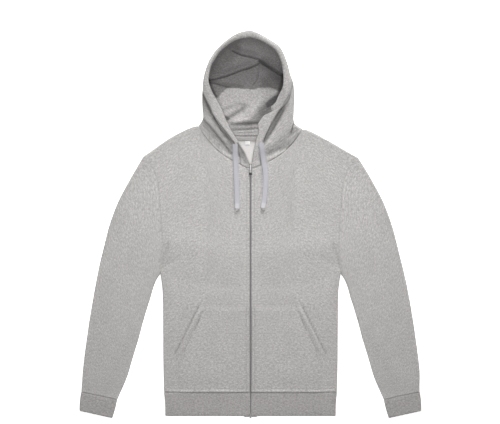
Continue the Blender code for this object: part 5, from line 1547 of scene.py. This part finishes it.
def cord_tip(line, name, lean):
    """The bound end of a cord: a flat sleeve, and the cord's cut end leaning below it, painted dark as a
    stand-in for the sleeve's shadow.
    """
    run = unit(line[-1] - line[-12])
    start = line[-1] - run * TIP_OVERLAP
    level, up = level_and_up(run)
    angle = np.linspace(0, 2 * math.pi, TIP_SIDES, endpoint=False)
    flat = boxy(np.cos(angle), 0.6)[:, None] * (CORD_WIDTH / 2 + 0.0002)
    thick = boxy(np.sin(angle), 0.7)[:, None] * (CORD_THICKNESS / 2 + 0.0001)
    outline = flat * level + thick * up
    rings = [start + run * (along * TIP_LENGTH) + outline * size for along, size in TIP_OUTLINE]
    rings += [start + run * (TIP_LENGTH + reach) + (outline + slant * lean * flat * run) * size
              for reach, size, slant in CUT_OUTLINE]
    index = np.arange(len(rings) * TIP_SIDES).reshape(-1, TIP_SIDES)
    faces = quads_of(closed(index))[..., TURNED].reshape(-1, 4).tolist()
    caps = [index[0].tolist(), index[-1][::-1].tolist()]
    bound = (len(TIP_OUTLINE) - 1) * TIP_SIDES
    tip = add_mesh(name, np.concatenate(rings), faces + caps, ["binding", "cut_end_shadow"],
                   slots=[0] * bound + [1] * (len(faces) + 2 - bound))
    for cap in tip.data.polygons[-2:]:
        cap.use_smooth = False
    return tip


def drawcords():
    for (_, letter), route, lean in zip(SIDES, (CORD_LEFT, CORD_RIGHT), (0.5, -0.4)):
        obj, line, length = cord(route, "drawcord_" + letter)
        tip = cord_tip(line, "drawcord_tip_" + letter, lean)
        sewn(tip, "cord_tip_" + letter)
        sewn(obj, "cord_" + letter)


# ---------------------------------------------------------------- the record of a cloth piece's cut
# The cut of a cloth piece before it was laid: its nodes, width, length and area in metres, and what it rests
# on.
Cut = namedtuple("Cut", "nodes width length area rests_on")


# ---------------------------------------------------------------- surroundings
FLOOR_REACH = 6.0
FLOOR_GLOW = 0.70              # the floor is a lit table, as under a cut-out on white
FLOOR_Z = -0.0004
BACKDROP_RADIUS = 5.8
BACKDROP_SPAN = (-0.001, 7.0)
BACKDROP_SIDES = 64


def studio():
    """A pale lit floor, and a white cloth round it that only the camera sees."""
    made, tree, shader = principled("pale_floor", (0.93, 0.93, 0.93), 0.9, specular=0.1)
    away = add_node(tree, "VectorMath", operation="LENGTH")
    tree.links.new(add_node(tree, "TexCoord").outputs["Object"], away.inputs[0])
    share = calc(tree, "DIVIDE", away.outputs["Value"], FLOOR_REACH)
    # the glow grows from FLOOR_GLOW near the garment to full white far off: painted light that hides the
    # lamps' fall-off towards the horizon
    tree.links.new(ramp(tree, share, (0.18, FLOOR_GLOW), (0.40, 1.0)), shader.inputs["Emission Color"])
    shader.inputs["Emission Strength"].default_value = 1.0
    corners = [(x * FLOOR_REACH, y * FLOOR_REACH, 0) for x, y in ((-1, -1), (1, -1), (1, 1), (-1, 1))]
    floor = add_mesh("floor", corners, [(0, 1, 2, 3)], [made], smooth=False)
    floor.location.z = FLOOR_Z
    made, tree, shader = principled("white_backdrop", (0.9, 0.9, 0.9), 0.9, specular=0.1)
    shader.inputs["Emission Color"].default_value = (1.0, 1.0, 1.0, 1.0)
    shader.inputs["Emission Strength"].default_value = 0.85
    turns = np.linspace(0, 2 * math.pi, BACKDROP_SIDES, endpoint=False)
    ring = [(BACKDROP_RADIUS * math.cos(turn), BACKDROP_RADIUS * math.sin(turn)) for turn in turns]
    faces = [(k, (k + 1) % BACKDROP_SIDES, (k + 1) % BACKDROP_SIDES + BACKDROP_SIDES, k + BACKDROP_SIDES)
             for k in range(BACKDROP_SIDES)]
    cloth = add_mesh("backdrop", [(*spot, z) for z in BACKDROP_SPAN for spot in ring], faces, [made],
                     smooth=False)
    cloth.visible_diffuse = cloth.visible_glossy = cloth.visible_shadow = False


add_camera()
drawcords()
studio()
add_lights()
front_panels()
back_panel()
hem_rib()
sleeves()
cuffs()
pockets()
hood()
neck_trim()
zip_parts()
